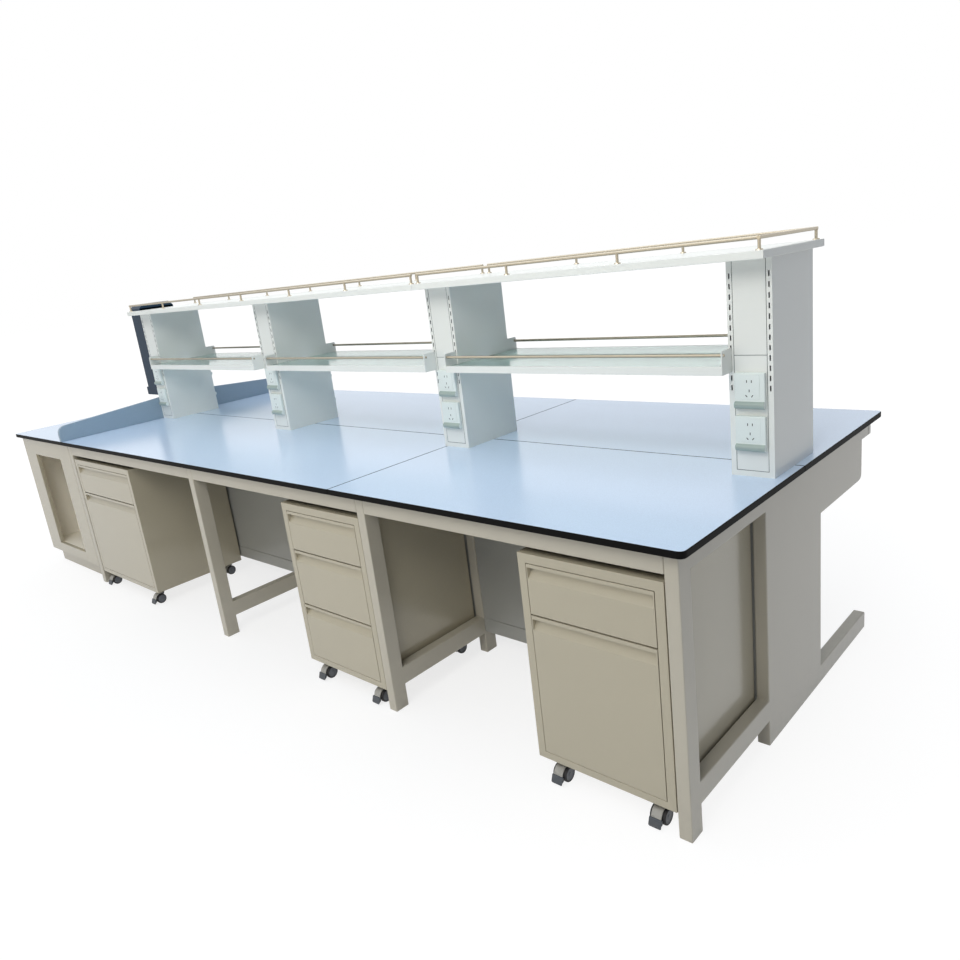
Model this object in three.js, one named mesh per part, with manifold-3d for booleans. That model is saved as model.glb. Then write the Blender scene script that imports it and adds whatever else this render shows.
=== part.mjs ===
// Island laboratory bench with a double-sided reagent shelf, mobile drawer pedestals and a sink-end cabinet.
// Units are millimetres, +Z is up, +X runs along the bench and -Y is the seated front.
// The origin is on the floor, below the middle of the worktop.
import * as THREE from 'three';
import { mergeVertices } from 'three/addons/utils/BufferGeometryUtils.js';
import Module from 'manifold-3d';

const wasm = await Module();
wasm.setup();

// Worktop
const benchLength = 4530;
const benchDepth = 1500;
const benchHeight = 850;
const worktopThickness = 20;
const worktopCornerRadius = 22;
const boardJoint = 1;

// Welded cross frames and the rails between them
const endOverhang = 30;
const frontOverhang = 27;
const backOverhang = 30;
const bayPitch = 1178;
const leftBayPitch = 1357;
const tubeWidth = 40;
const legDepth = 60;
const railHeight = 60;
const apronThickness = 30;
const stretcherHeight = 70;
const stretcherClearance = 88;
const postDepth = 436;
const armHeight = 145;
const armReach = 405;
const armTipRadius = 25;
const footHeight = 66;
const footReach = 470;
const footTipRadius = 10;

// Service duct between the posts
const ductSheet = 3;
const ductSetback = 6;
const ductClearance = 97;
const ductBandHeight = 60;
const ductBandProud = 3;

// Open cabinet at the left end
const cabinetWall = 20;
const cabinetClearance = 95;
const nicheWidth = 388;
const nicheHeight = 573;
const nicheSill = 60;
const nicheLip = 5;
const kickSetback = 45;

// Splash panels across the worktop beside the first upright
const splashThickness = 20;
const splashFrontHeight = 84;
const splashRearHeight = 127;
const splashNoseRadius = 45;
const splashLap = 30;

// Shelf uprights
const uprightCount = 4;
const uprightPitch = 1205;
const uprightWidth = 130;
const uprightDepth = 296;
const uprightSheet = 3;
const slotStripWidth = 17;
const slotCount = 12;
const slotPitch = 28.5;
const slotWidth = 4;
const slotHeight = 15;
const slotDepth = 7;
const firstSlotDrop = 61;
const coverSeamWidth = 1.6;
const coverSeamDepth = 1.5;
const coverSeamRise = 356;
const coverFootRise = 18;

// Socket housings on the uprights
const socketCount = 2;
const socketWidth = 89;
const socketHeight = 104;
const socketSpacing = 125;
const socketRise = 79;
const socketFaceDepth = 12;
const socketProud = 20;
const socketLipHeight = 22;
const socketLipFlare = 8;
const socketLipRadius = 8;
const socketLipSteps = 1;

// Top shelf and its guard rails
const topShelfRise = 640;
const topShelfDepth = 440;
const topShelfLip = 22;
const topShelfSheet = 3;
const topShelfOverhang = 8;
const topShelfBearing = 8;
const guardHeight = 32;
const guardRadius = 6;
const guardPostRadius = 5;
const guardInset = 18;
const guardPostGap = 430;
const guardRailOverrun = 6;
const guardSides = 6;

// Hung shelves between the uprights
const hookSlot = 8;
const hookThickness = 2.6;
const hookHeight = 11;
const hookReach = 5;
const bracketThickness = 3;
const bracketRise = 30;
const bracketDrop = 40;
const bracketRadius = 8;
const bracketSteps = 2;
const shelfReach = 62;
const shelfDepth = 180;
const shelfSheet = 8;
const shelfLipHeight = 24;
const shelfLipThickness = 14;
const shelfLipDrop = 16;
const shelfRearFold = 16;
const shelfRailRise = 16;
const shelfRailInset = 11;
const shelfRailRadius = 5;

// Drip rack on the outer face of the first upright
const rackHeight = 535;
const rackWidth = 210;
const rackDepth = 120;
const rackWall = 4;
const rackFrontInset = 4;
const rackTopRise = 35;
const rackCornerRadius = 24;
const rackTrayHeight = 46;
const rackTrayReach = 22;
const pegColumns = 3;
const pegRows = 4;
const pegLength = 62;
const pegRootRadius = 6;
const pegTipRadius = 4;
const pegTilt = 0.45;
const pegSides = 6;
const pegFieldDrop = 120;
const pegRowPitch = 84;
const pegColumnPitch = 66;

// Mobile pedestals
const narrowWidth = 466;
const wideWidth = 675;
const wideDrawers = 2;
const middleDrawers = 3;
const rightDrawers = 2;
const pedestalGap = 4;
const pedestalFrontGap = 3;
const pedestalRearGap = 8;
const pedestalTopGap = 22;
const carcassSide = 27;
const carcassTop = 29;
const carcassBottom = 24;
const carcassBack = 18;

// Drawers and their runners
const drawerGap = 2;
const drawerSplit = 5;
const topDrawerHeight = 156;
const frontThickness = 22;
const pullFlange = 11;
const pullDepth = 17;
const pullHeight = 36;
const pullEndWall = 3;
const drawerSheet = 3;
const drawerBackClearance = 12;
const drawerSideHeight = 110;
const deepDrawerRatio = 0.62;
const drawerFloorRise = 14;
const runnerSpace = 13;
const runnerHeight = 36;
const runnerFlange = 3;
const runnerWeb = 2;
const runnerReach = 10;
const runnerClearance = 0.4;
const runnerRise = 26;

// Castors
const castorHeight = 76;
const castorInset = 66;
const castorSetback = 48;
const castorTrail = 18;
const wheelRadius = 25;
const wheelWidth = 15;
const wheelPairWidth = 48;
const tyreRound = 3;
const axleRadius = 4;
const runningGap = 0.35;
const webWidth = 15;
const webFoot = 9;
const stemRadius = 13;
const castorPlate = 56;
const castorPlateThickness = 4;
const hoodGap = 2;
const hoodThickness = 4;
const hoodWidth = 32;
const hoodStart = 1.1;
const hoodEnd = 3.45;
const pedalWidth = 40;
const pedalThickness = 5;
const pedalTop = 30;
const pedalFoot = 5;
const pedalReach = 12;
const axleSides = 10;
const stemSides = 6;
const wheelSides = 12;
const roundSides = 8;
const hoodSteps = 3;
const pedalSteps = 1;

// Clearance between shelf parts and the uprights they hang on
const fitGap = 0.4;

// Finishes
const laminate = new THREE.MeshStandardMaterial({ color: 0xb7cdd8, roughness: 0.38, metalness: 0 });
const ivoryPaint = new THREE.MeshStandardMaterial({ color: 0xbfb9a3, roughness: 0.32, metalness: 0 });
const whitePaint = new THREE.MeshStandardMaterial({ color: 0xe4e9e5, roughness: 0.35, metalness: 0 });
const ductPaint = new THREE.MeshStandardMaterial({ color: 0x8d8f87, roughness: 0.35, metalness: 0 });
const splashLaminate = new THREE.MeshStandardMaterial({ color: 0x8fa9ba, roughness: 0.4, metalness: 0 });
const slatePlastic = new THREE.MeshStandardMaterial({ color: 0x3d4c5a, roughness: 0.45, metalness: 0 });
const greyPlastic = new THREE.MeshStandardMaterial({ color: 0x83868a, roughness: 0.5, metalness: 0 });
const blackTyre = new THREE.MeshStandardMaterial({ color: 0x1b1c1e, roughness: 0.7, metalness: 0 });

// Places that several pieces share
const frontEdge = -benchDepth / 2;
const backEdge = benchDepth / 2;
const rightEnd = benchLength / 2;
const leftEnd = -benchLength / 2;
const underside = benchHeight - worktopThickness;
const railBottom = underside - railHeight;
const legFront = frontEdge + frontOverhang;
const railBack = backEdge - backOverhang;
const postFront = -postDepth / 2;
const postBack = postDepth / 2;
const frameCentres = [
  rightEnd - endOverhang - tubeWidth / 2 - 2 * bayPitch - leftBayPitch,
  rightEnd - endOverhang - tubeWidth / 2 - 2 * bayPitch,
  rightEnd - endOverhang - tubeWidth / 2 - bayPitch,
  rightEnd - endOverhang - tubeWidth / 2,
];
const frameLeft = (index) => frameCentres[index] - tubeWidth / 2;
const frameRight = (index) => frameCentres[index] + tubeWidth / 2;
const uprightRight = (index) => rightEnd - endOverhang - (uprightCount - 1 - index) * uprightPitch;
const uprightLeft = (index) => uprightRight(index) - uprightWidth;
const uprightFace = uprightDepth / 2;
const topDeck = benchHeight + topShelfRise;
const deckUnderside = topDeck - topShelfSheet;
const slotCentre = (index) => deckUnderside - firstSlotDrop - index * slotPitch;
const splitUpright = 2;
const boardSplit = uprightLeft(splitUpright) + topShelfBearing;
const pedestalTop = railBottom - pedestalTopGap;
const pedestalFront = legFront + pedestalFrontGap;
const pedestalDepth = postFront + ductSetback - ductBandProud - pedestalRearGap - pedestalFront;

const axisX = new THREE.Vector3(1, 0, 0);
const axisY = new THREE.Vector3(0, 1, 0);
const axisZ = new THREE.Vector3(0, 0, 1);

// Turns any closed three.js geometry into a solid that can be joined and cut
function solid(geometry) {
  const bare = geometry.clone();
  bare.deleteAttribute('normal');
  bare.deleteAttribute('uv');
  const welded = mergeVertices(bare);
  const points = welded.attributes.position.array;
  const corners = welded.index.array;
  const triangles = [];
  for (let i = 0; i < corners.length; i += 3) {
    const [a, b, c] = [corners[i], corners[i + 1], corners[i + 2]];
    if (a !== b && b !== c && c !== a) triangles.push([a, b, c]);
  }
  const vertex = (i) => new THREE.Vector3().fromArray(points, 3 * i);
  const volume = triangles.reduce((sum, [a, b, c]) => sum + vertex(a).dot(vertex(b).cross(vertex(c))), 0);
  const facing = volume < 0 ? triangles.map(([a, b, c]) => [a, c, b]) : triangles;
  return new wasm.Manifold(new wasm.Mesh({
    numProp: 3,
    vertProperties: Float32Array.from(points),
    triVerts: Uint32Array.from(facing.flat()),
  }));
}

const join = (solids) => solids.reduce((whole, next) => whole.add(next));
const cut = (body, tools) => tools.reduce((rest, tool) => rest.subtract(tool), body);

function block([x0, x1], [y0, y1], [z0, z1]) {
  const geometry = new THREE.BoxGeometry(x1 - x0, y1 - y0, z1 - z0);
  geometry.translate((x0 + x1) / 2, (y0 + y1) / 2, (z0 + z1) / 2);
  return solid(geometry);
}

// Closed outline; a third value on a corner is its radius
function outline(corners) {
  const shape = new THREE.Shape();
  corners.forEach(([u, v, radius = 0], index) => {
    const corner = new THREE.Vector2(u, v);
    const toward = ([x, y]) => new THREE.Vector2(x, y).sub(corner).setLength(radius).add(corner);
    const entry = toward(corners.at(index - 1));
    const exit = toward(corners[(index + 1) % corners.length]);
    if (index === 0) shape.moveTo(entry.x, entry.y);
    else shape.lineTo(entry.x, entry.y);
    if (radius) shape.quadraticCurveTo(u, v, exit.x, exit.y);
  });
  return shape;
}

// Extrudes an outline drawn in Y and Z along X
function extrudeX(shape, [x0, x1], curveSegments = 5) {
  const settings = { depth: x1 - x0, bevelEnabled: false, curveSegments };
  const geometry = new THREE.ExtrudeGeometry(shape, settings);
  geometry.applyMatrix4(new THREE.Matrix4().makeBasis(axisY, axisZ, axisX));
  geometry.translate(x0, 0, 0);
  return solid(geometry);
}

// Extrudes an outline drawn in X and Y along Z
function extrudeZ(shape, [z0, z1], curveSegments = 6) {
  const settings = { depth: z1 - z0, bevelEnabled: false, curveSegments };
  const geometry = new THREE.ExtrudeGeometry(shape, settings);
  geometry.translate(0, 0, z0);
  return solid(geometry);
}

// A round bar between two points, tapered when the end radius differs
function rod(start, end, radius, sides, endRadius = radius) {
  const from = new THREE.Vector3(...start);
  const along = new THREE.Vector3(...end).sub(from);
  const geometry = new THREE.CylinderGeometry(endRadius, radius, along.length(), sides);
  geometry.translate(0, along.length() / 2, 0);
  geometry.applyQuaternion(new THREE.Quaternion().setFromUnitVectors(axisY, along.clone().normalize()));
  geometry.translate(from.x, from.y, from.z);
  return solid(geometry);
}

function mesh(name, body, material) {
  const { vertProperties, triVerts } = body.getMesh();
  const geometry = new THREE.BufferGeometry();
  geometry.setAttribute('position', new THREE.BufferAttribute(Float32Array.from(vertProperties), 3));
  geometry.setIndex(new THREE.BufferAttribute(Uint32Array.from(triVerts), 1));
  geometry.computeVertexNormals();
  const piece = new THREE.Mesh(geometry, material);
  piece.name = name;
  return piece;
}

// One worktop board; only its corner on the outside of the bench is rounded
function worktopBoard([x0, x1], [y0, y1]) {
  const outerX = Math.abs(x0) > Math.abs(x1) ? x0 : x1;
  const outerY = Math.abs(y0) > Math.abs(y1) ? y0 : y1;
  const corners = [[x0, y0], [x1, y0], [x1, y1], [x0, y1]].map(([x, y]) => {
    const onOutside = x === outerX && y === outerY;
    return [x, y, onOutside ? worktopCornerRadius : 0];
  });
  return extrudeZ(outline(corners), [underside, benchHeight]);
}

function worktop() {
  const halfJoint = boardJoint / 2;
  const group = new THREE.Group();
  const spans = { left: [leftEnd, boardSplit - halfJoint], right: [boardSplit + halfJoint, rightEnd] };
  const halves = { front: [frontEdge, -halfJoint], back: [halfJoint, backEdge] };
  for (const [half, depthSpan] of Object.entries(halves)) {
    for (const [end, lengthSpan] of Object.entries(spans)) {
      group.add(mesh(`worktop_${half}_${end}`, worktopBoard(lengthSpan, depthSpan), laminate));
    }
  }
  return group;
}

// Front leg, full-depth top rail, low stretcher, spine post, back arm and floor foot, welded flat.
// Inner frames stand on two short spine legs, so that pipes pass along the floor; the end frame is closed.
function crossFrame(closedSpine) {
  const legBack = legFront + legDepth;
  const stretcherTop = stretcherClearance + stretcherHeight;
  const railEnd = railBack - apronThickness;
  const floorPassage = [
    [postFront + legDepth, 0],
    [postFront + legDepth, stretcherClearance],
    [postBack - legDepth, stretcherClearance],
    [postBack - legDepth, 0],
  ];
  const shape = outline([
    [legFront, 0],
    [legBack, 0],
    [legBack, stretcherClearance],
    [postFront, stretcherClearance],
    [postFront, 0],
    ...(closedSpine ? [] : floorPassage),
    [postBack + footReach, 0],
    [postBack + footReach, footHeight, footTipRadius],
    [postBack, footHeight],
    [postBack, railBottom - armHeight],
    [postBack + armReach, railBottom - armHeight, armTipRadius],
    [postBack + armReach, railBottom],
    [railEnd, railBottom],
    [railEnd, underside],
    [legFront, underside],
  ]);
  shape.holes.push(new THREE.Path([
    new THREE.Vector2(legBack, stretcherTop),
    new THREE.Vector2(legBack, railBottom),
    new THREE.Vector2(postFront, railBottom),
    new THREE.Vector2(postFront, stretcherTop),
  ]));
  return extrudeX(shape, [-tubeWidth / 2, tubeWidth / 2]);
}

function underframe() {
  const group = new THREE.Group();
  ['frame_cabinet_side', 'frame_left_bay', 'frame_right_bay', 'frame_right_end'].forEach((name, index) => {
    const frame = mesh(name, crossFrame(index === frameCentres.length - 1), ivoryPaint);
    frame.position.x = frameCentres[index];
    group.add(frame);
  });
  ['left', 'middle', 'right'].forEach((bay, index) => {
    const span = [frameRight(index), frameLeft(index + 1)];
    const apron = block(span, [legFront, legFront + apronThickness], [railBottom, underside]);
    group.add(mesh(`front_apron_${bay}`, apron, ivoryPaint));
    group.add(mesh(`service_duct_${bay}`, serviceDuct(span), ductPaint));
  });
  const backSpan = [frameLeft(0), frameRight(frameCentres.length - 1)];
  const backApron = block(backSpan, [railBack - apronThickness, railBack], [railBottom, underside]);
  group.add(mesh('back_apron', backApron, ivoryPaint));
  return group;
}

// Folded channel that closes the spine between two posts, with a heavier band along its foot
function serviceDuct(span) {
  const half = postDepth / 2 - ductSetback;
  const band = half + ductBandProud;
  const bandTop = ductClearance + ductBandHeight;
  const inner = half - ductSheet;
  return extrudeX(outline([
    [-band, ductClearance],
    [band, ductClearance],
    [band, bandTop],
    [half, bandTop],
    [half, underside],
    [inner, underside],
    [inner, ductClearance + ductSheet],
    [-inner, ductClearance + ductSheet],
    [-inner, underside],
    [-half, underside],
    [-half, bandTop],
    [-band, bandTop],
  ]), span);
}

// Steel cabinet with an open niche on either side of the bench and a recessed kick plinth
function sinkCabinet() {
  const span = [leftEnd + endOverhang, frameLeft(0)];
  const middle = (span[0] + span[1]) / 2;
  const inside = [span[0] + cabinetWall, span[1] - cabinetWall];
  const opening = [middle - nicheWidth / 2, middle + nicheWidth / 2];
  const sill = cabinetClearance + nicheSill;
  const head = sill + nicheHeight;
  const room = [sill - nicheLip, underside - cabinetWall];
  const plinthFront = legFront + kickSetback;
  const plinthBack = railBack - kickSetback;
  const carcass = block(span, [legFront, railBack], [cabinetClearance, underside]);
  const plinth = block(span, [plinthFront, plinthBack], [0, cabinetClearance]);
  const plinthRoom = block(
    inside,
    [plinthFront + cabinetWall, plinthBack - cabinetWall],
    [-cabinetWall, sill - nicheLip - cabinetWall],
  );
  const nearRoom = block(inside, [legFront + cabinetWall, -cabinetWall / 2], room);
  const farRoom = block(inside, [cabinetWall / 2, railBack - cabinetWall], room);
  const nearMouth = block(opening, [legFront - cabinetWall, legFront + 2 * cabinetWall], [sill, head]);
  const farMouth = block(opening, [railBack - 2 * cabinetWall, railBack + cabinetWall], [sill, head]);
  return cut(join([carcass, plinth]), [plinthRoom, nearRoom, farRoom, nearMouth, farMouth]);
}

// Splash panel with a rounded nose at the worktop edge, rising towards the upright it is fixed to
function splashPanel(side) {
  const tail = -(uprightFace - splashLap);
  const shape = outline([
    [frontEdge, benchHeight],
    [frontEdge, benchHeight + splashFrontHeight, splashNoseRadius],
    [tail, benchHeight + splashRearHeight],
    [tail, benchHeight],
  ]);
  const panel = extrudeX(shape, [uprightLeft(0) - splashThickness, uprightLeft(0)]);
  return side < 0 ? panel : panel.mirror([0, 1, 0]);
}

// Socket housing, drawn from the side: a flat face above a blunt lip that stands further out
function socketHousing(bottom) {
  const top = bottom + socketHeight;
  const lipTop = bottom + socketLipHeight;
  const buried = -uprightFace + coverSeamDepth;
  const face = -uprightFace - socketFaceDepth;
  const nose = -uprightFace - socketProud;
  const shape = outline([
    [buried, top],
    [face, top],
    [face, lipTop],
    [nose, lipTop - socketLipFlare],
    [nose, bottom, socketLipRadius],
    [buried, bottom],
  ]);
  return extrudeX(shape, [-socketWidth / 2, socketWidth / 2], socketLipSteps);
}

// Seams round the two cover plates, and the slots of both hanging strips, on the front face
function uprightFaceCuts() {
  const panelHalf = uprightWidth / 2 - slotStripWidth;
  const seam = coverSeamWidth / 2;
  const depth = [-uprightFace - coverSeamDepth, -uprightFace + coverSeamDepth];
  const seamFoot = benchHeight + coverFootRise;
  const seamMiddle = benchHeight + coverSeamRise;
  const cuts = [
    block([-panelHalf, panelHalf], depth, [seamFoot - seam, seamFoot + seam]),
    block([-panelHalf, panelHalf], depth, [seamMiddle - seam, seamMiddle + seam]),
  ];
  for (const side of [-1, 1]) {
    const seamX = side * panelHalf;
    const slotX = side * (uprightWidth / 2 - slotStripWidth / 2);
    cuts.push(block([seamX - seam, seamX + seam], depth, [seamFoot - seam, deckUnderside + seam]));
    for (let index = 0; index < slotCount; index += 1) {
      const middle = slotCentre(index);
      cuts.push(block(
        [slotX - slotWidth / 2, slotX + slotWidth / 2],
        [-uprightFace - slotDepth, -uprightFace + slotDepth],
        [middle - slotHeight / 2, middle + slotHeight / 2],
      ));
    }
  }
  return join(cuts);
}

function upright() {
  const half = uprightWidth / 2;
  const innerHalf = half - uprightSheet;
  const innerFace = uprightFace - uprightSheet;
  const post = block([-half, half], [-uprightFace, uprightFace], [benchHeight, deckUnderside]);
  const hollow = block([-innerHalf, innerHalf], [-innerFace, innerFace], [underside, topDeck]);
  const faceCuts = uprightFaceCuts();
  const sockets = [];
  for (let index = 0; index < socketCount; index += 1) {
    const housing = socketHousing(benchHeight + socketRise + index * socketSpacing);
    sockets.push(housing, housing.mirror([0, 1, 0]));
  }
  return join([cut(post, [hollow, faceCuts, faceCuts.mirror([0, 1, 0])]), ...sockets]);
}

// Folded top shelf section with a guard rail along both long edges, closed across the right end
function topShelf([x0, x1], closedEnd) {
  const half = topShelfDepth / 2;
  const inner = half - topShelfSheet;
  const openRight = closedEnd ? x1 - topShelfSheet : x1 + topShelfSheet;
  const skin = block([x0, x1], [-half, half], [topDeck - topShelfLip, topDeck]);
  const room = [topDeck - 2 * topShelfLip, deckUnderside];
  const hollow = block([x0 - topShelfSheet, openRight], [-inner, inner], room);
  const postFoot = topDeck - topShelfSheet / 2;
  const railZ = topDeck + guardHeight;
  const railY = half - guardInset;
  const first = x0 + guardInset;
  const last = x1 - guardInset;
  const ends = [first - guardRailOverrun, last + guardRailOverrun];
  const gaps = Math.max(1, Math.round((last - first) / guardPostGap));
  const rails = [];
  for (const y of [-railY, railY]) {
    rails.push(rod([ends[0], y, railZ], [ends[1], y, railZ], guardRadius, guardSides));
    for (let index = 0; index <= gaps; index += 1) {
      const x = first + (index * (last - first)) / gaps;
      rails.push(rod([x, y, postFoot], [x, y, railZ], guardPostRadius, guardSides));
    }
  }
  const endY = railY + guardRailOverrun;
  if (closedEnd) rails.push(rod([last, -endY, railZ], [last, endY, railZ], guardRadius, guardSides));
  return join([cut(skin, [hollow]), ...rails]);
}

// Shelf hung in the slots of two uprights: deck, folded lip, end brackets with hooks, and a guard bar
function hungShelf(bay, side) {
  const hang = slotCentre(hookSlot);
  const stripOffset = slotStripWidth / 2;
  const hookLeft = uprightRight(bay) - stripOffset;
  const hookRight = uprightLeft(bay + 1) + stripOffset;
  const nose = -(uprightFace + shelfReach);
  const lipTop = hang - shelfLipDrop;
  const lipBottom = lipTop - shelfLipHeight;
  const deckSpan = [uprightRight(bay) + fitGap, uprightLeft(bay + 1) - fitGap];
  const deckRear = nose + shelfDepth;
  const deck = block(deckSpan, [nose + fitGap, deckRear], [lipTop - shelfSheet, lipTop - fitGap]);
  const fold = block(deckSpan, [deckRear - shelfSheet, deckRear], [lipTop - shelfRearFold, lipTop - fitGap]);
  const lip = block([hookLeft, hookRight], [nose, nose + shelfLipThickness], [lipBottom, lipTop]);
  const railY = nose + shelfRailInset;
  const railZ = hang + shelfRailRise;
  const rail = rod([hookLeft, railY, railZ], [hookRight, railY, railZ], shelfRailRadius, guardSides);
  const pieces = [deck, fold, lip, rail];
  const face = -uprightFace - fitGap;
  const plate = outline([
    [nose, hang - bracketDrop],
    [face, hang - bracketDrop],
    [face, hang + bracketRise],
    [nose, hang + bracketRise, bracketRadius],
  ]);
  for (const x of [hookLeft, hookRight]) {
    const blade = [x - hookThickness / 2, x + hookThickness / 2];
    pieces.push(extrudeX(plate, [x - bracketThickness / 2, x + bracketThickness / 2], bracketSteps));
    for (const slot of [hookSlot, hookSlot + 1]) {
      const middle = slotCentre(slot);
      const rise = [middle - hookHeight / 2, middle + hookHeight / 2];
      pieces.push(block(blade, [face - hookReach, face + hookReach], rise));
    }
  }
  const shelf = join(pieces);
  return side < 0 ? shelf : shelf.mirror([0, 1, 0]);
}

// Moulded board, open at the back, with a drip tray below and tapered pegs that tilt upwards
function dripRack() {
  const back = uprightLeft(0);
  const face = back - rackDepth;
  const near = -uprightFace + rackFrontInset;
  const far = near + rackWidth;
  const top = topDeck + rackTopRise;
  const bottom = top - rackHeight;
  const shape = outline([
    [near, bottom],
    [far, bottom],
    [far, top - rackCornerRadius],
    [far - rackCornerRadius, top],
    [near + rackCornerRadius, top],
    [near, top - rackCornerRadius],
  ]);
  const shell = extrudeX(shape, [face, back]);
  const hollow = block(
    [face + rackWall, back + rackWall],
    [near + rackWall, far - rackWall],
    [bottom + rackWall, top - rackCornerRadius],
  );
  const trayTop = bottom + rackTrayHeight;
  const tray = block([face - rackTrayReach, face + rackWall], [near, far], [bottom, trayTop]);
  const basin = block(
    [face - rackTrayReach + rackWall, face],
    [near + rackWall, far - rackWall],
    [bottom + rackWall, trayTop + rackWall],
  );
  const pegs = [];
  const middle = (near + far) / 2;
  for (let row = 0; row < pegRows; row += 1) {
    for (let column = 0; column < pegColumns; column += 1) {
      const y = middle + (column - (pegColumns - 1) / 2) * pegColumnPitch;
      const z = top - pegFieldDrop - row * pegRowPitch;
      const tip = [face - pegLength * Math.cos(pegTilt), y, z + pegLength * Math.sin(pegTilt)];
      pegs.push(rod([face + rackWall / 4, y, z], tip, pegRootRadius, pegSides, pegTipRadius));
    }
  }
  return join([cut(shell, [hollow]), cut(tray, [basin]), ...pegs]);
}

function reagentShelf() {
  const group = new THREE.Group();
  for (let index = 0; index < uprightCount; index += 1) {
    const post = mesh(`upright_${index + 1}`, upright(), whitePaint);
    post.position.x = uprightLeft(index) + uprightWidth / 2;
    group.add(post);
  }
  for (let bay = 0; bay < uprightCount - 1; bay += 1) {
    group.add(mesh(`hung_shelf_front_${bay + 1}`, hungShelf(bay, -1), whitePaint));
    group.add(mesh(`hung_shelf_back_${bay + 1}`, hungShelf(bay, 1), whitePaint));
  }
  const halfJoint = boardJoint / 2;
  const leftSpan = [uprightLeft(0), boardSplit - halfJoint];
  const rightSpan = [boardSplit + halfJoint, rightEnd - endOverhang + topShelfOverhang];
  group.add(mesh('top_shelf_left', topShelf(leftSpan, false), whitePaint));
  group.add(mesh('top_shelf_right', topShelf(rightSpan, true), whitePaint));
  group.add(mesh('splash_panel_front', splashPanel(-1), splashLaminate));
  group.add(mesh('splash_panel_back', splashPanel(1), splashLaminate));
  group.add(mesh('drip_rack', dripRack(), slatePlastic));
  return group;
}

// Channel runner fixed to a carcass wall, drawn from the front for the right-hand wall
function wallRunner(wallX, side, [y0, y1], bottom) {
  const top = bottom + runnerHeight;
  const toward = (reach) => [wallX, wallX - side * reach].sort((a, b) => a - b);
  return join([
    block(toward(runnerWeb), [y0, y1], [bottom, top]),
    block(toward(runnerReach), [y0, y1], [bottom, bottom + runnerFlange]),
    block(toward(runnerReach), [y0, y1], [top - runnerFlange, top]),
  ]);
}

// Steel tray with a pressed front: flat face, top flange and a full-width finger scoop under the flange
function drawer(width, height, depth, sideHeight) {
  const half = width / 2;
  const scoop = new THREE.Shape();
  const scoopTop = height - pullFlange;
  const scoopFoot = scoopTop - pullHeight;
  scoop.moveTo(-pullDepth, scoopTop);
  scoop.lineTo(pullDepth, scoopTop);
  scoop.quadraticCurveTo(pullDepth, (scoopTop + scoopFoot) / 2, 0, scoopFoot);
  scoop.lineTo(-pullDepth, scoopFoot);
  const slab = block([-half, half], [0, frontThickness], [0, height]);
  const face = cut(slab, [extrudeX(scoop, [-half + pullEndWall, half - pullEndWall])]);
  const trayHalf = half + drawerGap - runnerSpace;
  const floor = drawerFloorRise;
  const trayStart = frontThickness - drawerSheet;
  const tray = block([-trayHalf, trayHalf], [trayStart, depth], [floor, floor + sideHeight]);
  const inside = block(
    [-trayHalf + drawerSheet, trayHalf - drawerSheet],
    [frontThickness, depth - drawerSheet],
    [floor + drawerSheet, floor + sideHeight + drawerSheet],
  );
  const railBottomZ = runnerRise + runnerFlange + runnerClearance;
  const railTopZ = runnerRise + runnerHeight - runnerFlange - runnerClearance;
  const railOuter = half + drawerGap - runnerWeb - runnerClearance;
  const rails = [-1, 1].map((side) => block(
    [side * trayHalf, side * railOuter].sort((a, b) => a - b),
    [trayStart, depth],
    [railBottomZ, railTopZ],
  ));
  return join([face, cut(tray, [inside]), ...rails]);
}

// Heights of the drawers in one pedestal, from the top down
function drawerHeights(count, clearHeight) {
  const rest = clearHeight - 2 * drawerGap - topDrawerHeight - (count - 1) * drawerSplit;
  return [topDrawerHeight, ...Array(count - 1).fill(rest / (count - 1))];
}

// Two wheels on one axle, turned about it
function wheelPair() {
  const outer = wheelPairWidth / 2;
  const inner = outer - wheelWidth;
  const side = [
    [0, outer],
    [wheelRadius - tyreRound, outer],
    [wheelRadius, outer - tyreRound],
    [wheelRadius, inner],
    [axleRadius, inner],
  ];
  const mirrored = side.map(([radius, across]) => [radius, -across]).reverse();
  const profile = [...side, ...mirrored].map((point) => new THREE.Vector2(...point));
  const geometry = new THREE.LatheGeometry(profile, wheelSides);
  geometry.rotateZ(-Math.PI / 2);
  return solid(geometry);
}

// Castor body: a web between the two wheels under an arched hood, on a turning disc or a fixed plate.
// The axle sits forward of the stem by the trail.
function castorFork(trail, swivel) {
  const reach = wheelRadius + hoodGap;
  const stemFoot = wheelRadius + reach + hoodGap;
  const rim = reach + hoodThickness / 2;
  const web = new THREE.Shape();
  web.moveTo(webFoot - trail, wheelRadius - webFoot);
  web.lineTo(-webFoot - trail, wheelRadius - webFoot);
  web.absarc(-trail, wheelRadius, rim, Math.PI, Math.PI / 2, true);
  web.lineTo(stemRadius, stemFoot + hoodThickness);
  const hood = new THREE.Shape();
  hood.absarc(-trail, wheelRadius, reach + hoodThickness, hoodStart, hoodEnd, false);
  hood.absarc(-trail, wheelRadius, reach, hoodEnd, hoodStart, true);
  const bore = rod(
    [-webWidth, -trail, wheelRadius],
    [webWidth, -trail, wheelRadius],
    axleRadius + runningGap,
    axleSides,
  );
  const plateFoot = castorHeight - castorPlateThickness;
  const plateHalf = castorPlate / 2;
  const pieces = [
    cut(extrudeX(web, [-webWidth / 2, webWidth / 2], hoodSteps), [bore]),
    extrudeX(hood, [-hoodWidth / 2, hoodWidth / 2], hoodSteps),
    rod([0, 0, stemFoot], [0, 0, plateFoot + fitGap], stemRadius, stemSides),
  ];
  if (swivel) {
    pieces.push(rod([0, 0, plateFoot], [0, 0, castorHeight - runningGap], plateHalf, roundSides));
    pieces.push(brakePedal(-trail - reach));
  } else {
    pieces.push(block([-plateHalf, plateHalf], [-plateHalf, plateHalf], [plateFoot, castorHeight + fitGap]));
  }
  return join(pieces);
}

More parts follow.
